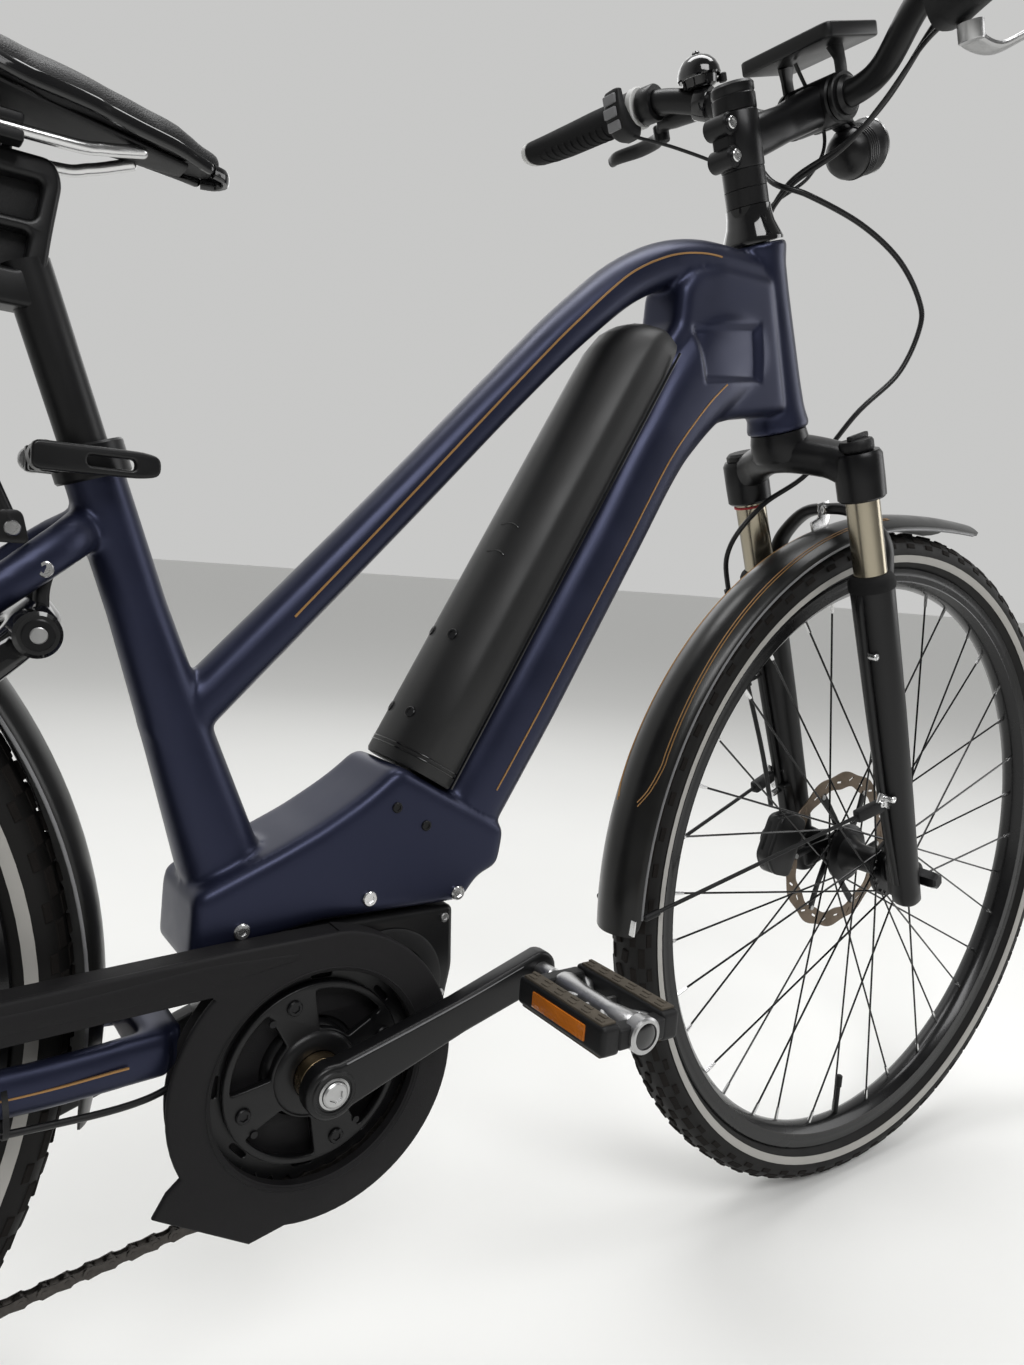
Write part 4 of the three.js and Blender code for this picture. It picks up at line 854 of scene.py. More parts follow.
BATTERY_HALF = [(140, 0), (140, 30), (142, 35.5), (156, 37.5), (168, 37.5), (172.5, 35.4), (178.5, 30),
    (185.5, 22), (189.6, 12), (191, 0)]
BATTERY_STATIONS = [(469, 0.97, 0.975), (471.5, 1, 1), (560, 1, 1), (700, 1, 1), (812, 1, 1),
    (832, 1, 0.99), (848, 0.97, 0.93), (858, 0.92, 0.83), (865, 0.84, 0.71), (868, 0.78, 0.62)]
PORT_ARCH = [(186.2, -21), (186.9, -19.6), (187.6, -18), (188.3, -16), (189, -14), (189.6, -12),
    (190, -9.6), (190.4, -7), (190.8, -4)]


def battery_ring(s, wide=1.0, high=1.0, grown=0.0):
    """The battery shell's section at a distance s up the down tube."""
    ring = []
    for mirror, half in ((1, BATTERY_HALF), (-1, BATTERY_HALF[-2:0:-1])):
        for c, y in half:
            x, z = down(s, 140 + (c - 140) * high + (grown if c > 140 else 0))
            ring.append((x, mirror * (y * wide + (grown if y else 0)), z))
    return ring


def add_battery():
    shell = Shape().skin([battery_ring(*station) for station in BATTERY_STATIONS])
    shell.make("battery_shell_skin", "frame", "battery", "battery_pack", sharp=44)
    trim = Shape()
    for s, size in ((478, 0.5), (481, 0.5)):
        trim.tube(battery_ring(s, grown=0.05)[1:-1], [(size, size, 3)], sides=8, steps=80)
    for side in (-1, 1):
        seam = [(*down(s, 141.5),) for s in (470, 600, 720, 800, 832, 858)]
        trim.tube([(x, side * 37.4, z) for x, z in seam], [(0.9, 0.9, 3)], sides=8, steps=60)
    trim.make("battery_seams", "frame", "gloss")
    screws = Shape()
    for side in (-1, 1):
        for s in (505, 570):
            x, z = down(s, 188.2)
            screws.bolt((x, side * 14, z), battery_normal(side), 4.2, 1.6)
    screws.make("battery_screws", "frame", "alloy")
    port = Shape()
    for s in (640, 664):
        arch = []
        for k, (c, y) in enumerate(PORT_ARCH):
            x, z = down(s + 2.5 * math.sin(k / 8 * math.pi), c)
            arch.append((x, y, z))
        port.tube(arch, [(0.45, 0.45, 3)], sides=8, steps=30)
    port.make("charge_port_lines", "frame", "gloss")


def battery_normal(side):
    """Outwards from the sloping top of the battery's side."""
    x, z = -math.sin(DOWN_ANGLE), math.cos(DOWN_ANGLE)
    return Vector((0.94 * x, side * 0.34, 0.94 * z))


def add_frame_bolts():
    screws = Shape()
    for x, z in ((40, 407.6), (112, 402.4), (-50, 398)):
        screws.bolt_pair((x, 38.4, z), 5.4, 3)
    screws.bolt_pair((-98, 41.6, 323), 4.5, 2.2).bolt_pair((-169, 37.5, 621), 4.5, 1.8)
    screws.make("frame_bolts", "frame", "steel")
    small = Shape()
    for x, z in ((57.7, 470.5), (82, 455.5)):
        small.bolt_pair((x, 38.4, z), 3.8, 2)
    small.make("cradle_screws", "frame", "alloy")


def rounded(outline, radius, steps=4):
    """An outline with its corners rounded."""
    made = []
    count = len(outline)
    for i in range(count):
        corner = Vector(outline[i])
        before, after = Vector(outline[i - 1]), Vector(outline[(i + 1) % count])
        a, b = before - corner, after - corner
        cut = min(radius, a.length * 0.45, b.length * 0.45)
        start, end = corner + a.normalized() * cut, corner + b.normalized() * cut
        for k in range(steps + 1):
            t = k / steps
            made.append(tuple(start * (1 - t) ** 2 + corner * 2 * t * (1 - t) + end * t * t))
    return made


def add_motor():
    outline = ([(-52, 392), (112, 392), (115, 345), (110, 318)] + arc(52, 318, 56, -10, -70, 8)
        + arc(0, BRACKET_HEIGHT, 50, -70, -180, 12) + [(-58, 330), (-64, 368)])
    motor = Shape().plate(rounded(outline, 5), -36, 48, bevel=5, steps=4)
    motor.lathe([(0, -44), (27, -44), (31, -41), (33, -34), (33, 46), (30, 52), (24, 56), (0, 56)],
        (0, 0, BRACKET_HEIGHT), steps=56)
    motor.make("motor_skin", "frame", "satin", "motor_unit", sharp=40)
    cover = Shape()
    for side, y in ((-1, -36), (1, 48)):
        rings = [(44, 0), (46, 1.2 * side), (44, 2.4 * side), (34, 3.2 * side), (33, 2.0 * side),
                 (20, 2.4 * side), (0, 2.6 * side)]
        cover.lathe([(r, h) for r, h in [(0, 0)] + rings], (58, y, 336), steps=64)
    cover.make("motor_covers", "frame", "plastic", sharp=30)
    screws = Shape()
    for side, y in ((-1, -36), (1, 48)):
        for x, z in ((104, 384), (-44, 380), (104, 326), (-44, 330), (8, 382)):
            screws.bolt((x, y, z), (0, side, 0), 3.4, 1.8)
    screws.make("motor_screws", "frame", "nickel")


def add_frame():
    add_frame_shell()
    add_frame_bolts()
    add_frame_lines()
    add_battery()
    add_motor()


# ---------------------------------------------------------------- fork and fenders


def add_fork():
    crown = Shape(STEER)
    path = [(LEG_AHEAD, -LEG_SIDE, 432), (16, -42, 446), (3, 0, 457), (16, 42, 446),
        (LEG_AHEAD, LEG_SIDE, 432)]
    crown.tube(path, [(17, 18, 2.6), (16, 18, 2.6), (17, 22, 2.4), (16, 18, 2.6), (17, 18, 2.6)],
        sides=32, steps=40, across=X)
    for side in (-1, 1):
        crown.lathe([(0, 407), (19.4, 407), (21.4, 409), (21.6, 425), (21.4, 446), (19, 450), (0, 450)],
            (LEG_AHEAD, side * LEG_SIDE, 0), Z, steps=48)
    crown.lathe([(0, 452), (24, 452), (26.4, 456), (26.4, 470), (25, 477.6), (14.3, 477.6), (14.3, 700),
        (0, 700)], axis=Z, steps=48)
    crown.make("fork_crown_skin", "steering", "alloy", "fork_crown")
    tubes = Shape(STEER)
    for side in (-1, 1):
        tubes.rod((LEG_AHEAD, side * LEG_SIDE, 262), (LEG_AHEAD, side * LEG_SIDE, 412), 15.1, 40)
    tubes.make("fork_stanchions", "steering", "stanchion")
    ring = Shape(STEER).hoop([(15.0, 0), (16.6, 0.5), (16.6, 2.2), (15.0, 2.7)],
        (LEG_AHEAD, LEG_SIDE, 402), Z, 32)
    ring.make("travel_ring", "steering", "red")
    cap = Shape(STEER).lathe([(0, 449), (15, 449), (16.5, 450.5), (16.5, 455), (14, 457.5), (7, 458),
        (0, 457)], (LEG_AHEAD, LEG_SIDE, 0), Z, 32, shape=lambda t: 1 + 0.02 * math.cos(12 * t))
    cap.make("preload_cap", "steering", "plastic")


def add_lockout():
    knob = Shape(STEER).lathe([(0, 450.4), (14, 450.4), (15, 452), (15, 458), (13.5, 460.5), (0, 461)],
        (LEG_AHEAD, -LEG_SIDE, 0), Z, 40, shape=lambda t: 1 + 0.018 * math.cos(16 * t))
    knob.block((26, 5, 5), (25, -66, 462.5), bevel=1.6, segments=3)
    knob.make("lockout_knob_skin", "fork_lockout", "plastic", "lockout_knob")


def add_lowers():
    legs = Shape(STEER)
    path = [(LEG_AHEAD, LEG_SIDE, -14), (LEG_AHEAD, LEG_SIDE, 100), (LEG_AHEAD, LEG_SIDE, 200),
        (LEG_AHEAD, LEG_SIDE, 326)]
    legs.tube(path, [(13.4, 13.6, 2.3), (16.6, 16, 2.3), (18.6, 18.2, 2.2), (20.2, 20.2, 2)], sides=40,
        steps=36, across=Y, ends=5)
    rib = [(a, LEG_SIDE, s) for a, s in ((9, 10), (2.6, 90), (0.6, 200), (0.4, 300), (5, 322))]
    legs.tube(rib, [(3.4, 3.6, 2.6), (4.2, 4.2, 2.6), (3.4, 4.0, 2.6)], sides=16, steps=40)
    dropout = rounded([(12, 30), (30, 34), *arc(47, 0, 14, 60, -100, 10), (30, -14), (12, -10)], 4)
    legs.plate(dropout, 51, 62.6, bevel=2.4, steps=3)
    legs.both_sides()
    legs.tube([(36, -66, 318), (46, -65, 338), (54, -58, 362), (58, -30, 385), (59, 0, 389),
        (58, 30, 385), (54, 58, 362), (46, 65, 338), (36, 66, 318)],
        [(6, 10, 2.4), (7, 9, 2.4), (6.5, 8, 2.4), (5.5, 8, 2.6), (6.5, 8, 2.4), (7, 9, 2.4),
        (6, 10, 2.4)], sides=24, steps=72, across=X)
    legs.block((16, 14, 54), (6, 62, 70), bevel=4, segments=3)
    legs.make("fork_lowers_skin", "fork_slider", "satin", "fork_lowers", sharp=40)
    wipers = Shape(STEER)
    for side in (-1, 1):
        wipers.hoop([(15.6, 322), (21, 322), (21.6, 324), (21.2, 331), (19, 335), (17, 336.6),
            (15.6, 337)], (LEG_AHEAD, side * LEG_SIDE, 0), Z, 40)
    wipers.make("fork_wipers", "fork_slider", "grip")
    screws = Shape(STEER)
    for side, spots in ((1, [(5, 91)]), (-1, [(4, 112), (2, 262)])):
        for a, s in spots:
            screws.bolt((a, side * 76, s), (0, side, 0), 3.6, 2)
            screws.rod((a, side * 68, s), (a, side * 76, s), 3.4, 12)
    screws.bolt((47, -66, 0), (0, -1, 0), 5, 2)
    screws.make("fork_bosses", "fork_slider", "steel")


def add_front_axle():
    axle = Shape(FRONT).lathe([(0, -88), (6, -88), (8.4, -86), (9.6, -80), (9.6, -64), (7, -63), (7, -50),
        (0, -50)], steps=6, start=0.3)
    axle.rod((0, -54, 0), (0, 54, 0), 6, 20)
    axle.lathe([(0, 50), (7, 50), (9.4, 62), (10.2, 64), (9.8, 70), (7, 73), (0, 73)], steps=40)
    axle.make("front_axle_skin", "fork_slider", "alloy", "front_axle")


def caliper_shape(local, place):
    """A two-piece caliper astride its rotor at y = 0 of its place, and its bolts."""
    outline = rounded([(-34, -20), (29, -21), (34, 0), (24, 20), (-22, 22), (-36, 6)], 7)
    bridge = rounded([(-33, -5), (32, -5), (24, 20), (-22, 22), (-36, 6)], 4)
    body = Shape(local).plate(outline, -7.6, -1.9, bevel=1.8, steps=3, place=place)
    body.plate(outline, 1.9, 12, bevel=1.8, steps=3, place=place)
    body.plate(bridge, -4, 8, bevel=1, place=place)
    boss = Shape(local).lathe([(0, 11), (13.5, 11), (14.5, 13), (14.5, 17.5), (12.5, 19.6), (0, 20)],
        steps=40)
    body.points_added(boss, place)
    bolts = Shape(local)
    for x, z in ((-25, 8), (24, 6), (-24, -13)):
        head = Shape(local).bolt((x, 12, z), Y, 4.2, 3)
        bolts.points_added(head, place)
    return body, bolts


def add_front_caliper():
    place = Matrix.Translation((-38, 36, 52)) @ Matrix.Rotation(-0.9, 4, "Y")
    body, bolts = caliper_shape(STEER, place)
    body.make("front_caliper_skin", "fork_slider", "satin", "front_caliper")
    for s in (48, 90):
        bolts.rod((-12, 66, s), (-3, 66, s), 4, 16, bevel=0.8)
    bolts.make("front_caliper_bolts", "fork_slider", "steel")


FENDER_RADIUS = 373
FENDER_HALF = 29
FENDER_DROP = 15


def fender_point(radius, turn, y, lift=0.0):
    """A point of a fender, from the turn in degrees round the wheel and the distance off centre."""
    reach = radius + lift - FENDER_DROP * (abs(y) / FENDER_HALF) ** 2
    return around(reach, math.radians(turn), y)


def fender_skin(shape, first, last, tip_lift):
    steps = 96
    cuts = [FENDER_HALF * (k / 7 - 1) for k in range(15)]
    rings = []
    for k in range(steps + 1):
        t = k / steps
        turn = first + (last - first) * t
        lift = tip_lift * max(0, (t - 0.8) / 0.2) ** 2
        end = min(k, steps - k)
        trim = (0.80, 0.93, 0.98)[end] if end < 3 else 1
        outer = [fender_point(FENDER_RADIUS, turn, y * trim, lift) for y in cuts]
        inner = [fender_point(FENDER_RADIUS - 1.6, turn, y * trim, lift) for y in cuts[::-1]]
        rings.append(outer + inner)
    return shape.skin(rings)


def fender_line(first, last, y_first, y_last):
    """A line on the fender, between two turns and two distances off centre."""
    steps = 40
    return [fender_point(FENDER_RADIUS + 0.3, first + (last - first) * k / steps,
        y_first + (y_last - y_first) * k / steps) for k in range(steps + 1)]


def fender_edge_highlights(shape, first, last, tip_lift):
    """Rolled edges along both sides, drawn in a lighter grey than the sheet: the roll is real, its grey is
    a painted highlight along each edge.
    """
    steps = 80
    for side in (-1, 1):
        path = []
        for k in range(2, steps - 1):
            t = k / steps
            lift = tip_lift * max(0, (t - 0.8) / 0.2) ** 2
            turn = first + (last - first) * t
            path.append(fender_point(FENDER_RADIUS - 1, turn, side * FENDER_HALF, lift))
        shape.tube(path, 1.1, sides=8, steps=90, ends=0.8)
    return shape


def add_fender(end, body, local, first, last, tip_lift):
    skin = fender_skin(Shape(local), first, last, tip_lift)
    skin.make(end + "_fender_skin", body, "fender", end + "_fender", sharp=50)
    # The lighter grey of the rolled edges is a painted highlight
    fender_edge_highlights(Shape(local), first, last, tip_lift).make(end + "_fender_edge_highlights", body, "mist")


def add_fender_stay(stays, start, turn, side):
    """A stay from its foot to the fender's edge, in a socket. Returns its direction."""
    end = fender_point(FENDER_RADIUS - 4, turn, side * 27)
    end.y = side * 30.5
    along = (end - start).normalized()
    stays.rod(start, end, 1.9, 10)
    stays.rod(end - along * 16, end, 3.2, 12, bevel=0.8)
    return along


def add_front_fender():
    add_fender("front", "fork_slider", FRONT, 184, 74, 16)
    lines = Shape(FRONT)
    for side in (-1, 1):
        for gap in (0, 2.6):
            path = fender_line(160, 98, side * (21 + gap * 0.8), side * (15 + gap * 0.8))
            hook = [fender_point(FENDER_RADIUS + 0.3, 163.5, side * (17.5 + gap * 0.8)),
                    fender_point(FENDER_RADIUS + 0.3, 165.5 + gap * 0.2, side * (12 + gap * 0.4))]
            lines.tube(hook[::-1] + path, [(0.3, 0.55, 4)], sides=8, steps=90)
    lines.make("front_fender_lines", "fork_slider", "gold")
    stays = Shape(FRONT)
    brackets = Shape(FRONT)
    for side in (-1, 1):
        start = Vector((-78, side * 70, 86))
        along = add_fender_stay(stays, start, 181, side)
        clip = Matrix.Translation(start + along * 26) @ along.to_track_quat("X", "Z").to_matrix().to_4x4()
        sleeve = Shape(FRONT).block((34, 9, 12), (0, 0, 0), bevel=2.2)
        stays.points_added(sleeve, clip)
        brackets.block((22, 3, 11), (-84, side * 70, 87), turn=20, bevel=0.8)
        brackets.bolt((-90, side * 71.5, 85), (0, side, 0), 3.6, 2.2)
        brackets.rod((-76, side * 60, 90), (-76, side * 70, 90), 2.4, 10)
    stays.make("front_fender_stays", "fork_slider", "plastic")
    end_clip = fender_point(FENDER_RADIUS + 0.5, 182.5, -24)
    brackets.block((2, 7, 14), end_clip, turn=2, bevel=0.6)
    brackets.make("front_fender_brackets", "fork_slider", "steel")
    strap = Shape(STEER).tube([(50.6, 0, 398), (50, 0, 386), (45, 0, 378), (30, 0, 375.2)],
        [(1.5, 8.5, 4)], sides=16, steps=24, across=X)
    strap.make("front_fender_strap", "fork_slider", "steel")
    screw = Shape(STEER).bolt((49, 0, 391), (-1, 0, 0.1), 5, 3)
    screw.make("front_fender_screw", "fork_slider", "steel")


def add_fork_parts():
    add_fork()
    add_lockout()
    add_lowers()
    add_front_axle()
    add_front_caliper()
    add_front_fender()


# ---------------------------------------------------------------- drive


CHAIN_Y = -46
CHAIN_WHEELS = ((0, BRACKET_HEIGHT, 76.9, 1), (*LOWER_PULLEY, 22, 1), (*UPPER_PULLEY, 22, -1),
    (*REAR_HUB, 30.5, 1))
CHAIN_PITCH = 12.7


def outer_tangent(a, b):
    """Where the chain leaves wheel a and where it meets wheel b."""
    (ax, az, ar, aw), (bx, bz, br, bw) = a, b
    gap = Vector((bx - ax, bz - az))
    heading = math.atan2(gap.y, gap.x)
    swing = math.asin((ar * aw - br * bw) / gap.length)
    normal = heading - swing + math.pi / 2
    off = Vector((math.cos(normal), math.sin(normal)))
    return Vector((ax, az)) + off * ar * aw, Vector((bx, bz)) + off * br * bw


def chain_line():
    """The chain's centre line, clockwise as seen from the right: dense (x, z) points."""
    wheels = CHAIN_WHEELS
    contacts = [outer_tangent(wheels[k], wheels[(k + 1) % 4]) for k in range(4)]
    points = []
    for k, (x, z, radius, way) in enumerate(wheels):
        arrive, leave = contacts[k - 1][1], contacts[k][0]
        start = math.atan2(arrive.y - z, arrive.x - x)
        end = math.atan2(leave.y - z, leave.x - x)
        sweep = (end - start) % (2 * math.pi) if way < 0 else -((start - end) % (2 * math.pi))
        count = max(6, int(abs(sweep) * radius / 1.5))
        for i in range(count):
            turn = start + sweep * i / count
            points.append(Vector((x + radius * math.cos(turn), z + radius * math.sin(turn))))
        span = contacts[k][1] - leave
        straight = max(2, int(span.length / 1.5))
        points.extend(leave + span * i / straight for i in range(straight))
    return points


def spaced(points, pitch):
    """Points evenly spaced round a closed line, close to the pitch and even in number."""
    loop = points + [points[0]]
    lengths = [0.0]
    for a, b in zip(loop, loop[1:]):
        lengths.append(lengths[-1] + (b - a).length)
    count = 2 * round(lengths[-1] / pitch / 2)
    made, i = [], 0
    for k in range(count):
        want = lengths[-1] * k / count
        while lengths[i + 1] < want:
            i += 1
        t = (want - lengths[i]) / (lengths[i + 1] - lengths[i])
        made.append(loop[i].lerp(loop[i + 1], t))
    return made


def link_plate(chain, a, b, y, thick, end):
    """One side plate between two pins: round ends and a waist."""
    along = (b - a).normalized()
    across = Vector((-along.y, along.x))
    ring = []
    for turn in (-70, -35, 0, 35, 70):
        t = math.radians(turn)
        ring.append(b + along * end * math.cos(t) + across * end * math.sin(t))
    ring.append((a + b) / 2 + across * end * 0.68)
    for turn in (110, 145, 180, 215, 250):
        t = math.radians(turn)
        ring.append(a + along * end * math.cos(t) + across * end * math.sin(t))
    ring.append((a + b) / 2 - across * end * 0.68)
    chain.skin([[(p.x, y - thick / 2, p.y) for p in ring], [(p.x, y + thick / 2, p.y) for p in ring]])


def add_chain():
    pins = spaced(chain_line(), CHAIN_PITCH)
    chain = Shape()
    for k, pin in enumerate(pins):
        after = pins[(k + 1) % len(pins)]
        reach = 2.9 if k % 2 else 2.0
        for side in (-1, 1):
            link_plate(chain, pin, after, CHAIN_Y + side * reach, 0.8, 4.1)
        chain.rod((pin.x, CHAIN_Y - 3.5, pin.y), (pin.x, CHAIN_Y + 3.5, pin.y), 1.8, 8)
        chain.rod((pin.x, CHAIN_Y - 1.5, pin.y), (pin.x, CHAIN_Y + 1.5, pin.y), 3.5, 12)
    chain.make("chain_links", "frame", "chain", "chain")
    return pins


def sprocket(x, z, teeth, tip, root, phase):
    """A toothed outline as (x, z) points."""
    outline = []
    for k in range(teeth):
        for share, radius in ((-0.5, root), (-0.26, root + (tip - root) * 0.45), (-0.1, tip), (0.1, tip),
                (0.26, root + (tip - root) * 0.45)):
            turn = phase + 2 * math.pi * (k + share) / teeth
            outline.append((x + radius * math.cos(turn), z + radius * math.sin(turn)))
    return outline


def ring_points(radius, count=72, x=0, z=0):
    return [(x + radius * math.cos(turn), z + radius * math.sin(turn)) for turn in turns(count)]


def window(inner, outer, first, last):
    """A window between two radii and two turns, in degrees, with rounded corners."""
    loop = arc(0, 0, outer, first, last, 12) + arc(0, 0, inner, last - 6, first + 6, 8)
    return rounded(loop, 6, 2)


def add_chainring(pins):
    on_ring = next(p for p in pins if (p - Vector((0, BRACKET_HEIGHT))).length < 77.2 and p.x > 60)
    phase = math.atan2(on_ring.y - BRACKET_HEIGHT, on_ring.x) + math.pi / 38
    teeth = sprocket(0, 0, 38, 79.5, 73.2, phase)
    ring = Shape(DRIVE)
    arm = RING_TURN
    windows = [window(31, 58, arm + 90 * k + 17, arm + 90 * k + 73) for k in range(4)]
    slots = [slot_outline(66, math.radians(arm + 45 * k + 22.5), 15, 3.6) for k in range(8)]
    ring.plate(teeth, -47.2, -44.8, slots + [ring_points(60)], bevel=0.4, steps=1)
    ring.make("chainring_teeth", "crankset", "satin", "chainring")
    spider = Shape(DRIVE).plate(ring_points(63), -53.4, -47.4, windows, bevel=1.4, steps=3)
    spider.hoop([(17, -56), (26, -56), (29, -54), (30, -52), (30, -46), (17, -46)], steps=56)
    spider.make("chainring_spider", "crankset", "satin")
    bolts = Shape(DRIVE)
    for k in range(4):
        turn = math.radians(arm + 90 * k)
        bolts.bolt(around(52, turn, -53.2), (0, -1, 0), 5.2, 2.6)
        bolts.rod(around(52, turn + 0.32, -53.2), around(52, turn + 0.32, -54.6), 2.4, 16)
    bolts.make("chainring_bolts", "crankset", "alloy")
    collar = Shape(DRIVE).hoop([(12.4, -67), (15.6, -67), (16.4, -66), (16.4, -56), (12.4, -56)], steps=48)
    collar.make("spindle_collar", "crankset", "brass")
    spindle = Shape(DRIVE).rod((0, -68, 0), (0, 68, 0), 12, 32)
    spindle.make("crank_spindle", "crankset", "nickel")


def crank_outline():
    """The arm's outline, from the spindle at the origin to the pedal eye at the crank length."""
    upper = arc(0, 0, 19, 60, 300, 20)
    eye = arc(CRANK_LENGTH, 0, 14.2, -80, 80, 14)
    return upper + [(40, -15), (100, -12.6)] + eye + [(100, 12.6), (40, 15)]


def add_cranks():
    for side, name in ((-1, "crank_right"), (1, "crank_left")):
        turn = math.radians(CRANK_TURN if side < 0 else CRANK_TURN + 180)
        place = Matrix.Rotation(turn, 4, "Y")
        low, high = (-83, -67.8) if side < 0 else (67.8, 83)
        arm = Shape(DRIVE).plate(crank_outline(), low, high, bevel=3.4, steps=4, place=place)
        arm.make(name + "_skin", "crankset", "satin", name, sharp=38)
        # A grey line along the edge of each arm's outer face that faces up: a painted highlight
        trim = Shape(DRIVE)
        edge = 1 if side < 0 else -1
        line = [place @ Vector((x, side * 81.6, edge * z)) for x, z in
                ((14, 14.5), (60, 12.4), (110, 10.8), (156, 11.0))]
        trim.tube(line, [(0.5, 1.5, 4)], sides=8, steps=30, ends=1)
        trim.make(name + "_edge", "crankset", "mist")
        recess = Shape(DRIVE).hoop([(11.4, 81), (12.4, 83.6), (14.4, 84), (15.2, 83.2), (15.4, 81)],
            (0, 0, 0), (0, side, 0), 48)
        recess.lathe([(0, 82.6), (11.6, 82.6), (11.6, 81), (0, 81)], (0, 0, 0), (0, side, 0), 32)
        recess.make(name + "_recess", "crankset", "satin")
        bolt = Shape(DRIVE).bolt((0, side * 82.8, 0), (0, side, 0), 8.6, 3.4)
        bolt.hoop([(9, 82.6), (10.6, 82.6), (10.6, 83.6), (9, 84.2)], (0, 0, 0), (0, side, 0), 40)
        spot = place @ Vector((CRANK_LENGTH, 0, 0))
        bolt.rod((spot.x, side * 68.6, spot.z), (spot.x, side * 98, spot.z), 7.4, 24, bevel=0.8)
        bolt.make(name + "_bolt", "crankset", "nickel")
        shaft = Shape(DRIVE).rod((spot.x, side * 66, spot.z), (spot.x, side * 188, spot.z), 4.8, 20)
        shaft.make(name + "_pedal_shaft", "crankset", "nickel")


def add_pedal(name, body, spin, side):
    local = local_frame(Vector(joint(spin)["pos_m"]))
    cage = Shape(local)
    for end in (-1, 1):
        cage.block((15, 92, 20), (end * 25.5, 0, 0), bevel=3.6, segments=4)
    for y in (-41, 41):
        cage.block((40, 12, 15), (0, y, 0), bevel=3, segments=3)
    cage.make(name + "_cage", body, "plastic", name)
    core = Shape(local).hoop([(5.4, -38), (9.4, -38), (10.6, -34), (8.4, -14), (8.2, 14), (10.6, 34),
        (9.4, 38), (5.4, 38)], steps=40)
    core.hoop([(5.4, 39), (11, 39), (12.4, 41), (12.4, 49), (11, 50), (9, 50), (9, 47), (5.4, 47)],
        (0, 0, 0), (0, side, 0), 40)
    for x in (-1, 1):
        for y in (-1, 1):
            core.tube([(x * 4, y * 12, 0), (x * 12, y * 22, 0), (x * 20, y * 34, 0)],
                [(5, 3.4, 3), (4, 2.6, 3), (5, 4.4, 3)], sides=16, steps=12, across=Y)
    core.block((34, 3.2, 8), (0, 0, 0), bevel=1.2)
    core.make(name + "_body", body, "nickel")
    plug = Shape(local).lathe([(0, 46.4), (8.8, 46.4), (8.8, 49.2), (6.4, 50.2), (0, 50.4)], (0, 0, 0),
        (0, side, 0), 32)
    plug.make(name + "_plug", body, "gloss")
    pads = Shape(local)
    for level in (-1, 1):
        for end in (-1, 1):
            pads.block((11.6, 84, 2.4), (end * 25.6, 0, level * 10.2), bevel=0.9)
            for k in range(6):
                y = -36 + k * 14.4
                pads.block((3.2, 7, 1.2), (end * 25.6 - 2.6, y, level * 11.6), bevel=0.4, segments=1)
                pads.block((3.2, 7, 1.2), (end * 25.6 + 2.6, y + 3, level * 11.6), bevel=0.4, segments=1)
    pads.make(name + "_pads", body, "pad")
    shine = Shape(local)
    for end in (-1, 1):
        shine.block((2.4, 56, 11), (end * 33, 0, 0), bevel=0.8)
    shine.make(name + "_reflectors", body, "amber")


def guard_outline():
    return ([(10, 396), (-60, 394), (-190, 387), (-330, 389), (-338, 380), (-334, 368), (-190, 361),
        (-71, 367)] + arc(0, BRACKET_HEIGHT, 100, 135.4, 206, 14)
        + [(-98, 246), (-106, 232), (-44, 194), (-20, 199)]
        + arc(0, BRACKET_HEIGHT, 100, 258.5, 444, 44)[:-1])


def wall_along(shape, points, low, high, thick):
    """A wall from one y to another, along (x, z) points and thick to their right."""
    rings = []
    for k, p in enumerate(points):
        before, after = Vector(points[max(0, k - 1)]), Vector(points[min(len(points) - 1, k + 1)])
        along = (after - before).normalized()
        inward = Vector((along.y, -along.x)) * thick
        q = Vector(p) + inward
        rings.append([(p[0], low, p[1]), (q.x, low, q.y), (q.x, high, q.y), (p[0], high, p[1])])
    return shape.skin(rings)


def add_guard():
    cover = Shape().plate(guard_outline(), -62, -56.4, [ring_points(73.5, 96, 0, BRACKET_HEIGHT)],
        bevel=2.2, steps=3)
    front = arc(0, BRACKET_HEIGHT, 99, 84, -96, 60)
    wall_along(cover, front, -59, -40, 3)
    crest = [(-326, 387.4), (-190, 385.6), (-60, 392.6), (-20, 394), (10, 394.6)]
    wall_along(cover, crest, -59, -40, 3)
    cover.hoop([(73.5, -57), (77, -61.6), (76, -62.6), (72.8, -60), (72.4, -54), (73.5, -54)],
        (0, 0, BRACKET_HEIGHT), steps=96)
    cover.make("chain_guard_skin", "frame", "guard", "chain_guard", sharp=42)
    backing = Shape().plate(ring_points(96, 96, 0, BRACKET_HEIGHT), -41.4, -40.2,
        [ring_points(35, 48, 0, BRACKET_HEIGHT)], bevel=0.4)
    backing.make("chain_guard_backing", "frame", "guard")
    ridge = Shape().tube([(-330, -62, 378), (-190, -62, 374.5), (-80, -62, 381), (-20, -62, 384.5)],
        [(1.2, 0.8, 2), (5.6, 1.0, 2), (7, 1.0, 2), (2, 0.8, 2)], sides=16, steps=40)
    ridge.make("chain_guard_ridge", "frame", "guard")


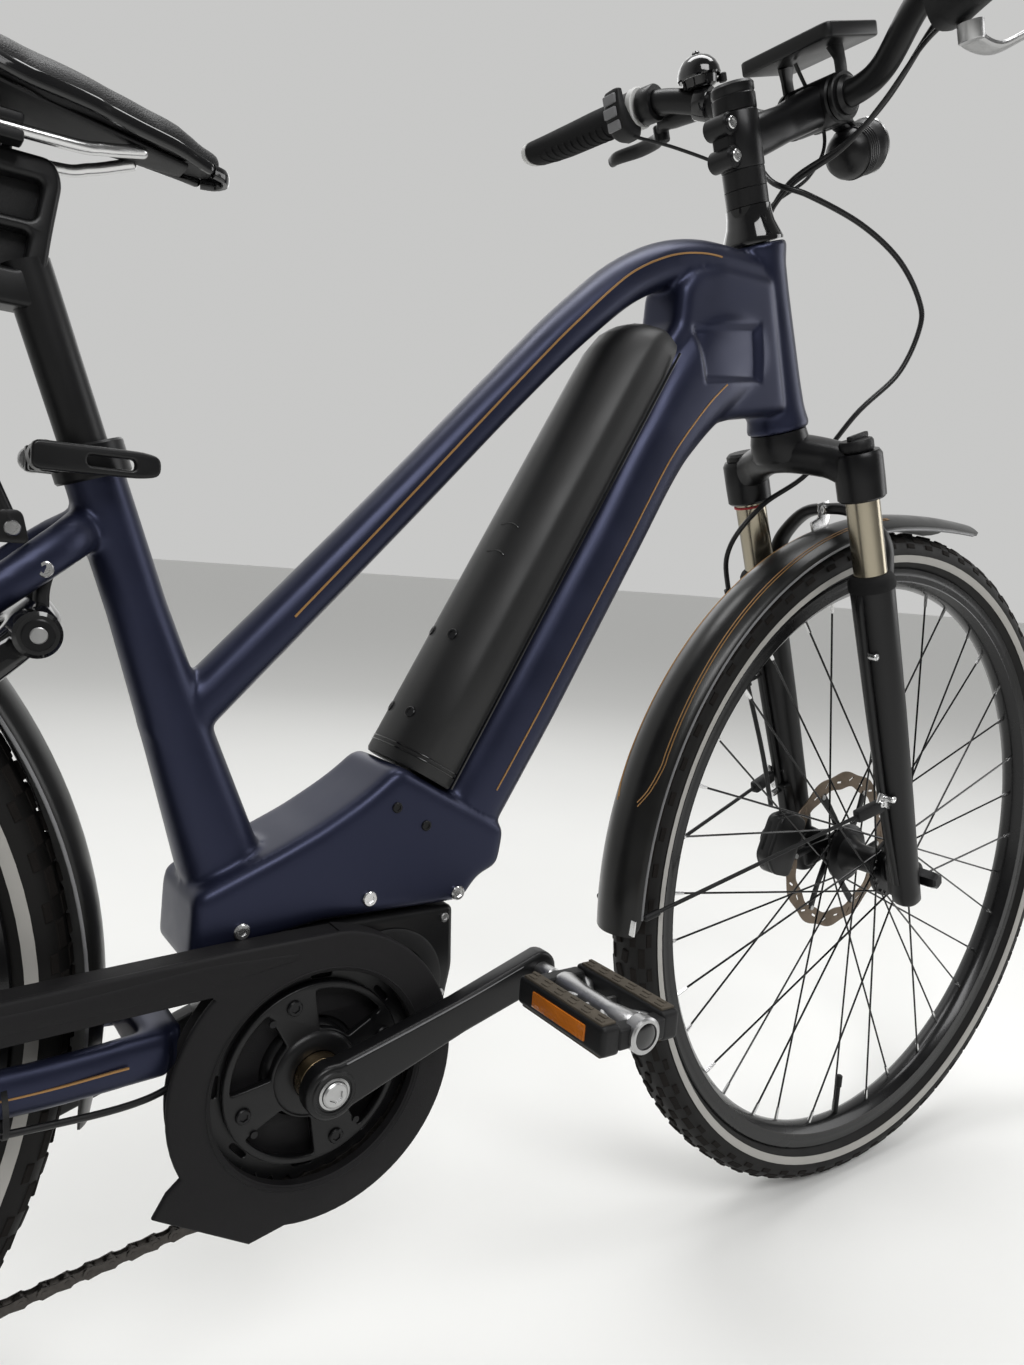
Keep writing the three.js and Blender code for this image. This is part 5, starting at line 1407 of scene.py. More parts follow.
def add_cassette():
    cogs = Shape(REAR)
    for teeth, y in ((30, -28), (26, -31.6), (23, -35.2), (20, -38.8), (17, -42.4), (15, -46),
            (13, -49.6)):
        pitch = CHAIN_PITCH / (2 * math.sin(math.pi / teeth))
        tip = min(60, pitch + 3.2)
        outline = sprocket(0, 0, teeth, tip, pitch - 3.2, 0.1 * y)
        hole = [ring_points(pitch * 0.6, 40)] if teeth > 18 else [ring_points(14.6, 32)]
        cogs.plate(outline, y - 0.9, y + 0.9, hole, bevel=0.2, steps=1)
    cogs.hoop([(13, -27), (18, -27), (18, -52), (13, -52)], steps=32)
    for turn in (0.3, 2.4, 4.5):
        for y, reach in ((-28, 36), (-31.6, 31), (-35.2, 27), (-38.8, 24)):
            cogs.tube([around(15, turn, y), around(reach, turn, y)], [(5, 0.8, 4)], sides=8, steps=4,
                across=Y)
    cogs.make("cassette_cogs", "rear_cogs", "chain", "cassette")
    cap = Shape(REAR).hoop([(11, -52), (18, -52), (17, -54.4), (14, -55), (11, -55)], steps=40)
    cap.make("cassette_lockring", "rear_cogs", "nickel")


def add_derailleur():
    hanger = rounded([(-506, 333), (-486, 333), (-484, 312), (-496, 306), (-508, 312)], 4)
    body = rounded([(-512, 324), (-496, 330), (-476, 306), (-474, 290), (-486, 268), (-502, 268),
        (-508, 290)], 6)
    fixed = Shape().plate(hanger, -82, -75, bevel=1.4)
    fixed.plate(body, -80, -63, bevel=4, steps=4)
    fixed.rod((-496, -75, 346), (-496, -75, 320), 8, 24, bevel=1)
    fixed.lathe([(0, -50), (13, -50), (14, -52), (14, -66), (12, -68), (0, -68)], (-489, 0, 282), steps=40)
    fixed.tube([(-500, -72, 272), (-510, -72, 282), (-517, -73, 300)], 4, sides=16, steps=16, ends=2)
    fixed.make("rear_derailleur_skin", "frame", "satin", "rear_derailleur")
    link = Shape().block((7, 3, 40), (-494, -81.5, 298), turn=-14, bevel=1.2)
    link.bolt((-496, -83, 318), (0, -1, 0), 6, 2)
    link.bolt((-489, -82, 280), (0, -1, 0), 4, 1.4)
    link.make("derailleur_link", "frame", "nickel")
    cage = Shape()
    hull = capsule(UPPER_PULLEY, 15, LOWER_PULLEY, 14)
    cage.plate(hull, -54.5, -52, [capsule((-483, 258), 5, (-471, 206), 5)], bevel=0.5)
    cage.plate(hull, -40, -37.5, [capsule((-483, 258), 6, (-471, 206), 6)], bevel=0.5)
    for x, z in (UPPER_PULLEY, LOWER_PULLEY):
        cage.rod((x, -55.6, z), (x, -36.6, z), 3.4, 16, bevel=0.6)
    cage.make("derailleur_cage_skin", "tension_arm", "alloy", "derailleur_cage")
    pulleys = Shape()
    for x, z in (UPPER_PULLEY, LOWER_PULLEY):
        pulleys.plate(sprocket(x, z, 11, 23, 18.4, 0.2), -47.2, -44.8, [ring_points(4, 20, x, z)],
            bevel=0.3, steps=1)
        pulleys.hoop([(3.6, -51.6), (8, -51.6), (9.5, -48), (9.5, -44), (8, -40.4), (3.6, -40.4)],
            (x, 0, z), steps=28)
    pulleys.make("derailleur_pulleys", "tension_arm", "plastic")


def capsule(a, ra, b, rb):
    """The outline round two discs, as (x, z) points."""
    along = Vector(b) - Vector(a)
    heading = math.degrees(math.atan2(along.y, along.x))
    return (arc(b[0], b[1], rb, heading - 90, heading + 90, 10)
            + arc(a[0], a[1], ra, heading + 90, heading + 270, 10))


def add_drive():
    pins = add_chain()
    add_chainring(pins)
    add_cranks()
    add_pedal("pedal_right", "right_pedal", "right_pedal_spin", -1)
    add_pedal("pedal_left", "left_pedal", "left_pedal_spin", 1)
    add_guard()
    add_cassette()
    add_derailleur()


# ---------------------------------------------------------------- cockpit


BAR = [(BAR_AHEAD, 0, BAR_UP), (BAR_AHEAD, 40, BAR_UP), (107, 70, 753), (96, 108, 780), (82, 145, 796),
    (74, 170, 801), (68, 202, 801), (59, 265, 802), (52, 318, 803)]


def add_stem():
    cone = Shape(STEER).hoop([(14.4, 640), (26, 640), (26.4, 642), (25, 646), (21, 656), (19.4, 664),
        (19, 670.5), (14.4, 670.5)], axis=Z, steps=56)
    cone.make("headset_cone", "steering", "gloss", "headset_cover")
    rings = Shape(STEER)
    for low, high in ((671, 684.8), (685.1, 699.8)):
        rings.hoop([(14.4, low), (18, low), (18.2, low + 0.2), (18.2, high - 0.2), (18, high),
            (14.4, high)], axis=Z, steps=48)
    rings.make("headset_spacers", "steering", "satin")
    stem = Shape(STEER).hoop([(14.6, 700), (17.6, 700), (18.6, 701.4), (18.6, 743), (17.6, 744.4),
        (14.6, 744.4)], axis=Z, steps=48)
    stem.tube([(8, 0, 723), (55, 0, 732), (96, 0, 742)],
        [(18, 16.5, 2.8), (15.6, 15.6, 2.8), (17.5, 20, 3)], sides=36, steps=24)
    stem.rod((BAR_AHEAD, -24.4, BAR_UP), (BAR_AHEAD, 24.4, BAR_UP), 20.4, 48, bevel=1.6)
    stem.block((10, 20, 40), (-18, 0, 722), bevel=3, segments=4)
    for level in (710, 735):
        stem.rod((-21, -12.6, level), (-21, 12.6, level), 9, 36, bevel=1.6)
    stem.block((9, 40, 38), (128, 0, 744), bevel=3, segments=4)
    stem.lathe([(0, 744.8), (18, 744.8), (18.2, 746), (18.2, 756), (17.4, 757), (17.4, 758), (18, 759),
        (18, 764), (16, 766.4), (6, 767), (0, 766)], axis=Z, steps=48)
    stem.make("stem_skin", "steering", "alloy", "stem", sharp=38)
    screws = Shape(STEER)
    for s in (710, 735):
        screws.bolt((-21, -12.6, s), (0, -1, 0), 5.0, 2.2)
        screws.bolt((-21, 12.6, s), Y, 5.0, 1.6)
    for y in (-14, 14):
        for s in (731, 757):
            screws.bolt((132.4, y, s), X, 3.6, 2.6)
    screws.bolt((0, 0, 766.4), Z, 5, 2)
    screws.make("stem_bolts", "steering", "steel")


def add_collar(shape, start, towards, outer, width, edge, rims=(1, 1), steps=40):
    """A clamp round the bar, with its outer radius, its width and its two broken edges."""
    start, towards = Vector(start), Vector(towards)
    low, high = rims[0], width - rims[1]
    section = [(BAR_BORE, 0), (outer - edge, 0), (outer, low), (outer, high), (outer - edge, width),
        (BAR_BORE, width)]
    return shape.hoop(section, start, towards - start, steps)


def add_bar():
    bar = Shape(STEER)
    whole = sided(-1, BAR[::-1]) + BAR[1:]
    bar.tube(whole, 11.2, sides=28, steps=120, across=Z, ends=1)
    bar.rod((BAR_AHEAD, -36, BAR_UP), (BAR_AHEAD, 36, BAR_UP), 15.9, 40, bevel=3)
    bar.make("handlebar_skin", "steering", "satin", "handlebar")


def add_grip(side, name):
    grip = Shape(STEER).tube(sided(side, [(67, 206, 801), (63, 238, 800.6), (56, 285, 800.4),
        (48, 321, 801)]), [(15.4, 15.4, 2), (16, 17, 2.1), (15, 20, 2.2), (12.5, 24, 2.4)], sides=40,
        steps=40, across=X, ends=2.5)
    grip.make("grip_" + name + "_skin", "steering", "grip", "grip_" + name)
    ribs = Shape(STEER)
    for k in range(11):
        y = 216 + k * 8.4
        half = 15.9 + 0.55 * k
        spot = (65.4 - k * 1.42, side * y, 800.8)
        ring = [(spot[0] + (half + 0.5) * math.cos(t), spot[1] + 2.2 * math.sin(2 * t),
                 spot[2] + (16.2 - 0.2 * k) * math.sin(t))
                for t in (math.radians(200 + 140 * i / 16) for i in range(17))]
        ribs.tube(ring, 0.9, sides=8, steps=32, across=Y, ends=0.6)
    ribs.make("grip_" + name + "_ribs", "steering", "grip")
    collars = add_collar(Shape(STEER), (69.4, side * 197, 801), (68, side * 206, 801), 17.2, 8.6, 0.6)
    collars.tube(sided(side, [(47.4, 322, 801), (46.4, 327, 801), (45.6, 331, 801)]),
        [(12.6, 23.6, 2.4), (12, 22.6, 2.4), (9.5, 19, 2.4)], sides=36, steps=8, across=X, ends=1)
    collars.make("grip_" + name + "_collars", "steering", "cloud")


def add_brake(side, name):
    def at(a, y, s):
        return Vector((a, side * y, s))

    body = add_collar(Shape(STEER), at(75.5, 160, 800), at(72.5, 176, 800.6), 17.2, 16.2, 0.8, (1.2, 1.2))
    body.tube([at(110, 128, 785.6), at(107, 140, 786), at(102, 166, 788), at(100, 181, 788)],
        [(7.5, 7.5, 2), (11, 11, 2.2), (12, 11.5, 2.6), (9, 9.5, 2.6)], sides=28, steps=24, across=Z,
        ends=2)
    body.block((30, 14, 13), at(90, 166, 794), bevel=3.5, segments=3)
    body.tube([at(100, 176, 786), at(104, 188, 779), at(104, 188, 770)], [(6, 7, 3), (5, 8, 3)], sides=16,
        steps=12, across=X, ends=2)
    body.make("brake_body_" + name + "_skin", "steering", "satin", "brake_body_" + name)
    small = Shape(STEER)
    nut = at(112, 131, 781)
    out = at(116, 118, 772) - nut
    small.lathe([(0, -2), (4.6, -2), (4.6, 7), (3.4, 8), (3.4, 12), (0, 12)], nut, out, 6)
    small.bolt(at(104, 188, 787), Z, 3.6, 2)
    small.bolt(at(97, 160, 797.6), Z, 2.6, 1.4)
    small.bolt(at(96, 174, 797.6), Z, 2.6, 1.4)
    small.make("brake_" + name + "_fittings", "steering", "steel")
    lever = Shape(STEER)
    path = [at(104, 191, 778), at(116, 208, 776), at(122, 240, 776), at(121, 275, 778), at(127, 292, 778)]
    lever.tube(path, [(6, 5.5, 2.6), (7.5, 4.2, 2.6), (7.5, 3.8, 2.6), (7, 4, 2.4), (6, 5, 2.2)],
        sides=20, steps=48, across=X, ends=3)
    lever.lathe([(0, 770), (7.2, 770), (8, 771), (8, 785), (7.2, 786), (0, 786)], at(104, 188, 0), Z, 28)
    lever.make("brake_lever_" + name + "_skin", name + "_brake_lever", "satin", "brake_lever_" + name)


def add_controls():
    pod = add_collar(Shape(STEER), (70.6, 183, 801), (68.6, 195, 801), 18, 12.1, 1, (1, 1.1))
    pod.tube([(66, 189, 782), (54, 189.6, 786), (47, 190, 802), (48, 190.4, 820)],
             [(9, 12, 4), (9, 13, 4), (6, 13, 4), (4, 11, 4)], sides=28, steps=20, ends=2)
    pod.make("control_pod_skin", "steering", "plastic", "control_pod")
    ring = add_collar(Shape(STEER), (72, 178, 801), (70.8, 184.8, 801), 19.4, 7.2, 1, (1, 0.8))
    ring.make("control_pod_ring", "steering", "cloud")
    keys = Shape(STEER)
    for s, a in ((789, 42.2), (801, 39.4), (813, 41.4)):
        keys.block((4, 17, 9), (a, 190, s), bevel=1.6, segments=3)
    keys.make("control_pod_keys", "steering", "mist")
    shifter = Shape(STEER).tube([(84, -138, 774), (83, -150, 776), (80, -178, 779)],
        [(21, 20, 2.8), (22, 21, 2.8), (17, 17, 2.6)], sides=32, steps=16, across=X, ends=3)
    shifter.block((34, 30, 13), (98, -158, 796), bevel=4, segments=4)
    shifter.make("shifter_housing", "steering", "plastic")
    window_glass = Shape(STEER).block((20, 18, 2), (99, -158, 803), bevel=0.8)
    window_glass.make("shifter_window", "steering", "glass")
    lever = Shape(STEER).tube([(84, -160, 748), (93, -157, 741), (112, -163, 734), (129, -177, 738)],
        [(5, 9, 2.6), (3.4, 10, 2.6), (3, 9, 2.6), (3, 7, 2.4)], sides=20, steps=32, across=Y, ends=3)
    lever.lathe([(0, 740), (9, 740), (9.6, 741), (9.6, 753), (0, 753)], (84, -160, 0), Z, 28)
    lever.make("shift_lever_skin", "gear_lever", "nickel", "shift_lever")


def add_display():
    lay_flat = Matrix.Rotation(math.radians(90), 4, "X")
    case = Shape(STEER)
    case.plate(rounded(oblong(36, 48), 7), -6, 6, bevel=2, steps=3,
        place=Matrix.Translation((105, 0, 790)) @ lay_flat)
    for side in (-1, 1):
        case.hoop([(16, -2.6), (19, -2.6), (20, -1.6), (20, 1.6), (19, 2.6), (16, 2.6)],
            (BAR_AHEAD, side * 28.4, BAR_UP), steps=40)
        case.tube([(109, side * 28.4, 762), (108, side * 28.4, 774), (106, side * 26, 785)],
            [(7, 2.6, 3), (7, 2.6, 3), (10, 3.4, 3)], sides=16, steps=12)
    case.make("display_case", "steering", "satin", "display")
    screen = Shape(STEER).plate(rounded(oblong(31, 43), 5), -0.6, 0.6, bevel=0.3,
        place=Matrix.Translation((105, 0, 796)) @ lay_flat)
    screen.make("display_glass", "steering", "screen")


def add_bell():
    bell = Shape(STEER)
    dome = [(0, 806.4), (17, 806.4), (20, 806), (21, 807.5), (20.4, 812), (18, 817.6), (13.6, 822.6),
            (8, 825.6), (3.4, 826.6), (0, 826.8)]
    bell.lathe(dome, (93, 117, 0), Z, 56)
    bell.lathe([(0, 826), (3.4, 826), (4, 828), (2.6, 829.6), (0, 830)], (93, 117, 0), Z, 24)
    bell.lathe([(0, 797), (13, 797), (16, 799), (17, 806), (0, 806)], (93, 117, 0), Z, 40)
    add_collar(bell, (95.5, 111, 782), (91, 123, 787), 15.6, 13, 0.6, steps=36)
    bell.make("bell_skin", "steering", "gloss", "bell")
    striker = Shape(STEER).tube([(114.6, 119, 804), (118, 125, 804), (120, 134, 805)],
        [(2.6, 3.2, 3), (2.4, 3, 3), (3, 4, 2.6)], sides=16, steps=12, across=X, ends=2)
    striker.rod((118, 110, 800), (118, 110, 808), 4, 20, bevel=0.8)
    striker.tube([(118, 110, 804), (117, 115, 804), (115.6, 120, 804)], 2.2, sides=12, steps=8, across=Z)
    striker.make("bell_lever_skin", "bell_striker", "plastic", "bell_lever")


def add_headlight():
    start, end = Vector((134, 0, 700)), Vector((178, 0, 708))
    axis = (end - start).normalized()
    lamp = Shape(STEER).lathe([(0, -4), (10, -3), (17, 1), (21, 8), (22.4, 16), (22.6, 30), (24, 33),
        (24, 41), (22.6, 42), (22.4, 38), (0, 38)], start, axis, 56)
    for k in range(5):
        lamp.hoop([(22.2, 14 + k * 3), (23.2, 14.6 + k * 3), (23.2, 15.6 + k * 3), (22.2, 16.2 + k * 3)],
            start, axis, 48)
    lamp.tube([(150, 0, 724), (142, 0, 731), (134, 0, 735)], [(3, 9, 3)], sides=16, steps=12)
    lamp.tube([(146, 0, 722), (134, 0, 728), (126, 0, 732)], [(3, 7, 3)], sides=16, steps=12)
    lamp.make("headlight_body", "steering", "satin", "headlight")
    trim = Shape(STEER).hoop([(22.4, 40), (24.4, 40), (24.8, 41.4), (24, 43), (22.4, 43)], start, axis, 56)
    trim.make("headlight_ring", "steering", "steel")
    glass = Shape(STEER).lathe([(0, 38), (22, 38), (22, 41), (17, 43.6), (9, 45), (0, 45.4)], start, axis,
        48)
    glass.make("headlight_glass", "steering", "glass")


FRONT_HOSE = [(112, 131, 780), (122, 104, 764), (110, 78, 738), (84, 56, 722), (50, 12, 690),
    (63, -15, 671), (109, -32, 638), (141, -45, 601), (159, -50, 563), (157, -50, 537), (129, -42, 501),
    (84, -24, 474), (46, 10, 428), (6, 38, 406), (-32, 52, 374), (-34, 60, 328), (-26, 62, 228),
    (-32, 50, 150), (-36, 46, 92)]
REAR_HOSE = [(112, -131, 780), (124, -100, 764), (112, -66, 728), (92, -36, 704), (66, 6, 686),
    (52, 34, 650), (36, 44, 610), (6, 46, 560), (-30, 44, 530)]
GEAR_CABLE = [(96, -137, 764), (110, -104, 756), (106, -66, 726), (89, -36, 701), (64, 6, 682),
    (49, 34, 650), (33, 44, 610), (3, 46, 560), (-33, 44, 530)]


CONTROL_CABLE = [(56, 184, 778), (74, 140, 752), (84, 84, 716), (66, 40, 684), (46, 36, 650),
    (30, 46, 610), (1, 48, 560), (-35, 46, 530)]
DISPLAY_CABLE = [(96, 8, 782), (120, 4, 722), (98, 8, 690), (58, 22, 672), (43, 38, 648), (28, 47, 610),
    (-1, 49, 560), (-37, 47, 530)]


def add_hoses():
    front = Shape(STEER).tube(FRONT_HOSE, 2.5, sides=12, steps=150, across=Z)
    piece = front.make("front_brake_hose", None, "hose", "front_hose", sharp=60)
    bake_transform(piece)
    rear = Shape(STEER).tube(REAR_HOSE, 2.5, sides=12, steps=110, across=Z)
    rear.tube(GEAR_CABLE, 2.0, sides=12, steps=110, across=Z)
    for route in (CONTROL_CABLE, DISPLAY_CABLE):
        rear.tube(route, 1.7, sides=10, steps=100, across=Z)
    piece = rear.make("rear_brake_hose_and_gear_cable", None, "hose", "rear_cables", sharp=60)
    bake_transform(piece)
    ends = Shape(STEER)
    for route in (REAR_HOSE, GEAR_CABLE):
        last, before = Vector(route[-1]), Vector(route[-2])
        along = (last - before).normalized()
        ends.hoop([(2.4, -9), (3.6, -9), (4.4, -3), (5.6, 0), (2.4, 1)], last, along, 20)
    ends.make("cable_ports", "frame", "grip")
    clips = Shape(STEER)
    for k in (15, 16):
        a, b = Vector(FRONT_HOSE[k]), Vector(FRONT_HOSE[k + 1])
        clips.hoop([(2.4, -4), (4.2, -4), (4.2, 4), (2.4, 4)], a, b - a, 16)
        clips.rod(a, (a.x * 0.2 + 1, 62, a.z), 1.8, 8)
    clips.make("hose_clips", "fork_slider", "plastic")


def add_cockpit():
    add_stem()
    add_bar()
    for side, name in ((1, "left"), (-1, "right")):
        add_grip(side, name)
        add_brake(side, name)
    add_controls()
    add_display()
    add_bell()
    add_headlight()
    add_hoses()


# ---------------------------------------------------------------- seatpost and saddle


def add_seatpost():
    low, high = seated(232), seated(520)
    post = Shape().rod((low[0], 0, low[1]), (high[0], 0, high[1]), 13.6, 40)
    hx, hz = seated(545)
    outline = [(hx + x, hz + z) for x, z in [(-15, -50), (15, -50), (20, -10), (25, 20), (20, 31),
        (-22, 31), (-27, 18), (-20, -10)]]
    windows = [rounded([(hx + x, hz + z) for x, z in loop], 4)
        for loop in ([(-9, -30), (5, -30), (9, -10), (-12, -10)],
        [(-14, -3), (11, -3), (15, 18), (-18, 18)])]
    post.plate(rounded(outline, 7), -12.4, 12.4, windows, bevel=3.4, steps=4)
    post.make("seatpost_skin", "saddle_post", "satin", "seatpost", sharp=40)
    walls = Shape()
    for loop, (x, z) in zip(windows, ((-2, -20), (-2, 8))):
        middle = Vector((hx + x, hz + z))
        inner = [tuple(middle + (Vector(p) - middle) * 1.06) for p in loop]
        walls.plate(inner, -3, 3, bevel=0.4)
    walls.make("seatpost_web", "saddle_post", "plastic")


def add_rails():
    rails = Shape()
    path = [(-118, 12, 860), (-140, 19, 853), (-160, 22, 849.5), (-230, 22, 849.5), (-262, 26, 856),
            (-300, 42, 872)]
    rails.tube(path, 3.5, sides=20, steps=70, ends=2).both_sides()
    rails.make("saddle_rails_skin", "saddle_post", "steel", "saddle_rails")
    clamp = Shape()
    for side in (-1, 1):
        clamp.block((44, 13, 6), (SADDLE_CLAMP, side * 20, 854), bevel=2, segments=3)
        clamp.block((44, 13, 6), (SADDLE_CLAMP, side * 20, 845.4), bevel=2, segments=3)
    clamp.block((26, 30, 8), (SADDLE_CLAMP, 0, 845), bevel=2)
    clamp.make("saddle_clamp", "saddle_post", "satin")
    bolts = Shape().bolt_pair((SADDLE_CLAMP, 27, 846), 5, 3)
    bolts.make("saddle_clamp_bolts", "saddle_post", "steel")


SADDLE_PATH = [(-78, 866), (-110, 872), (-170, 877), (-240, 880), (-300, 886), (-350, 892)]
SADDLE_SECTIONS = [(9, 13), (13, 20), (14, 32), (15, 64), (16, 80), (9, 60)]


def saddle_ring(t):
    """The saddle's section at a share of its length: a flat crown with sides that roll under."""
    spine = smooth_path([(x, 0, z) for x, z in SADDLE_PATH], 60)
    spot = spine[min(60, int(round(t * 60)))]
    place = t * (len(SADDLE_SECTIONS) - 1)
    i = min(int(place), len(SADDLE_SECTIONS) - 2)
    u = place - i
    u = u * u * (3 - 2 * u)
    high = SADDLE_SECTIONS[i][0] * (1 - u) + SADDLE_SECTIONS[i + 1][0] * u
    wide = SADDLE_SECTIONS[i][1] * (1 - u) + SADDLE_SECTIONS[i + 1][1] * u
    ring = []
    for turn in turns(40):
        across, above = math.cos(turn), math.sin(turn)
        z = high * math.copysign(abs(above) ** 0.8, above)
        if above > 0:
            z *= 1 - 0.10 * math.exp(-(across * wide / 12) ** 2)
        if above < 0:
            z = z * (0.9 if abs(across) > 0.7 else 0.45)
        ring.append(Vector((spot.x, wide * math.copysign(abs(across) ** 0.86, across), spot.z + z)))
    return ring


def add_saddle():
    cushion = Shape()
    rings = [saddle_ring(k / 44) for k in range(45)]
    nose, tail = rings[0], rings[-1]
    middle = sum(nose, Vector()) / len(nose)
    back = sum(tail, Vector()) / len(tail)
    cap_nose = [[middle + (p - middle) * s + Vector((shift, 0, 0)) for p in nose] for s,
        shift in ((0.4, 6.6), (0.75, 5), (0.93, 2.6))]
    cap_tail = [[back + (p - back) * s - Vector((shift, 0, 0)) for p in tail] for s,
        shift in ((0.95, 3), (0.8, 6), (0.45, 8))]
    cushion.skin(cap_nose + rings + cap_tail)
    piece = cushion.make("saddle_cushion", "saddle_post", "saddle", "saddle", sharp=70)
    pad(piece)
    edge = Shape()
    for side in (-1, 1):
        path = []
        for k in range(1, 45, 2):
            ring = saddle_ring(k / 44)
            widest = max(ring, key=lambda p: side * p.y)
            path.append(widest + Vector((0, side * 0.2, -5)))
        edge.tube(path, [(3.4, 2.0, 2.6), (4.6, 2.4, 2.6), (4, 2.2, 2.6)], sides=12, steps=70, ends=3)
    nose_path = [Vector((-78, 12, 861)), Vector((-70, 8, 861)), Vector((-67, 0, 861)),
        Vector((-70, -8, 861)), Vector((-78, -12, 861))]
    edge.tube(nose_path, [(4, 2.2, 2.6)], sides=12, steps=20, across=Y)
    edge.make("saddle_edge", "saddle_post", "gloss")
    base = Shape().tube([(-92, 0, 861), (-170, 0, 866), (-240, 0, 868), (-300, 0, 874), (-340, 0, 882)],
        [(2, 10, 3), (3, 26, 3), (3, 54, 3), (3, 66, 3), (2, 50, 3)], sides=24, steps=30)
    base.make("saddle_base", "saddle_post", "plastic")


def pad(piece):
    """Lets the cover swell a little over its foam, as a stitched saddle does."""
    bpy.context.view_layer.objects.active = piece
    remesh = piece.modifiers.new("even", "REMESH")
    remesh.mode = "VOXEL"
    remesh.voxel_size = 0.004
    cloth = piece.modifiers.new("foam", "CLOTH")
    settings = cloth.settings
    settings.quality = 5
    settings.use_pressure = True
    settings.uniform_pressure_force = 2.5
    settings.effector_weights.gravity = 0
    settings.tension_stiffness = 40
    settings.compression_stiffness = 40
    settings.bending_stiffness = 20
    cloth.point_cache.frame_start = 1
    cloth.point_cache.frame_end = 14
    scene = bpy.context.scene
    for moment in range(1, 15):
        scene.frame_set(moment)
    depsgraph = bpy.context.evaluated_depsgraph_get()
    shaped = bpy.data.meshes.new_from_object(piece.evaluated_get(depsgraph))
    piece.modifiers.clear()
    piece.data = shaped
    shaped.shade_smooth()
    scene.frame_set(1)
    smooth = piece.modifiers.new("smooth", "SUBSURF")
    smooth.levels = smooth.render_levels = 1


def add_seat_clamp():
    clamp = Shape()
    low, high = seated(400), seated(420)
    axis = Vector((high[0] - low[0], 0, high[1] - low[1]))
    clamp.hoop([(17.6, 0), (21, 0), (22, 1.4), (22, 18.6), (21, 20), (13.8, 20), (13.8, 14), (17.6, 12)],
        (low[0], 0, low[1]), axis, 48)
    x, z = seated(408)
    for side in (-1, 1):
        clamp.block((16, 7, 15), (x - 26, side * 6.4, z), bevel=2, segments=3)
    clamp.make("seat_clamp_skin", "frame", "alloy", "seat_clamp")
    pin = Shape().rod((x - 29, -20, z), (x - 29, 18, z), 3.2, 16, bevel=0.6)
    pin.lathe([(0, 10), (7, 10), (7.6, 11), (7.6, 15), (6, 17), (0, 17)], (x - 29, 0, z), steps=24)
    pin.make("seat_clamp_pin", "frame", "nickel")
    lever = Shape()
    ox = x - 13
    outline = rounded([(ox + a, z + b) for a, b in [(-24, -8), (34, -7), (44, -5), (44, 6), (34, 8),
        (-24, 8)]], 5)
    slot = rounded([(ox + 4, z - 3), (ox + 30, z - 3), (ox + 30, z + 3), (ox + 4, z + 3)], 2.8)
    lever.plate(outline, -36.5, -29.5, [slot], bevel=1.6, steps=3)
    lever.rod((ox - 16, -32, z), (ox - 16, -18.6, z), 8.6, 28, bevel=1.6)
    lever.make("clamp_lever_skin", "post_lever", "satin", "clamp_lever")


def add_seat():
    add_seatpost()
    add_rails()
    add_saddle()
    add_seat_clamp()


# ---------------------------------------------------------------- rear of the bicycle


def add_rear_fender():
    add_fender("rear", "frame", REAR, 196, -12, 0)
    stays, brackets = Shape(REAR), Shape(REAR)
    for side in (-1, 1):
        for turn in (150, 184):
            add_fender_stay(stays, Vector((-14, side * 72, 40)), turn, side)
        stays.rod((-14, side * 70, 40), (-14, side * 75, 40), 5, 20, bevel=0.8)
    brackets.bolt_pair((-14, 75, 40), 3.8, 2.2)
    stays.make("rear_fender_stays", "frame", "plastic")
    brackets.make("rear_fender_bolts", "frame", "steel")
    reflector = Shape(REAR)
    reflector.block((5, 34, 52), fender_point(FENDER_RADIUS + 3, 189, 0), turn=-9, bevel=2, segments=3)
    reflector.make("rear_reflector", "frame", "lens")


def add_rack():
    rack = Shape()
    rail = [(-232, 12, 763), (-262, 38, 765), (-310, 55, 765), (-420, 55, 765), (-600, 55, 765),
            (-690, 54, 765), (-722, 38, 765), (-732, 10, 765)]
    rack.tube(rail, 6, sides=20, steps=80, across=Z, ends=1)
    rack.rod((-470, 55, 762), (-505, 79, 408), 5, 20)
    rack.rod((-420, 55, 763), (-503, 78, 414), 4, 20)
    rack.rod((-236, 16, 763), (-184, 31, 642), 4, 20)
    rack.plate(rounded([(-514, 392), (-492, 392), (-496, 420), (-510, 420)], 4), 75, 80, bevel=1)
    rack.plate(rounded([(-194, 634), (-176, 634), (-180, 652), (-192, 652)], 4), 30, 34, bevel=1)
    rack.both_sides()
    for x in (-340, -480, -620):
        rack.rod((x, -55, 765), (x, 55, 765), 4, 20)
    for y in (-18, 18):
        rack.rod((-300 - abs(y), y, 765), (-620, y, 765), 3, 16)
    rack.rod((-232, -14, 763), (-232, 14, 763), 6, 20)
    rack.make("luggage_rack_skin", "frame", "satin", "luggage_rack")
    bolts = Shape().bolt_pair((-503, 80.5, 404), 4.6, 2.6).bolt_pair((-185, 34.4, 642), 4.2, 2.4)
    bolts.make("luggage_rack_bolts", "frame", "steel")
    lamp = Shape()
    outline = rounded([(-752, 742), (-738, 738), (-728, 742), (-728, 772), (-743, 777), (-754, 772)], 4)
    lamp.plate(outline, -32, 32, bevel=3, steps=3)
    lamp.make("rear_light_body", "frame", "plastic")
    lens = Shape()
    face = rounded([(-757, 746), (-749, 743), (-749, 772), (-757, 769)], 2.5)
    lens.plate(face, -28, 28, bevel=2, steps=3)
    lens.make("rear_light_lens", "frame", "lens")


def lock_frame():
    """The ring lock's plane: x out from the axle at 40 degrees, z to the bicycle's left."""
    turn = math.radians(40)
    out, left = Vector((math.cos(turn), 0, math.sin(turn))), Vector(Y)
    return Matrix.Translation((-478, 0, 334)) @ (
        Matrix((out, left.cross(out), left)).transposed().to_4x4()
    )


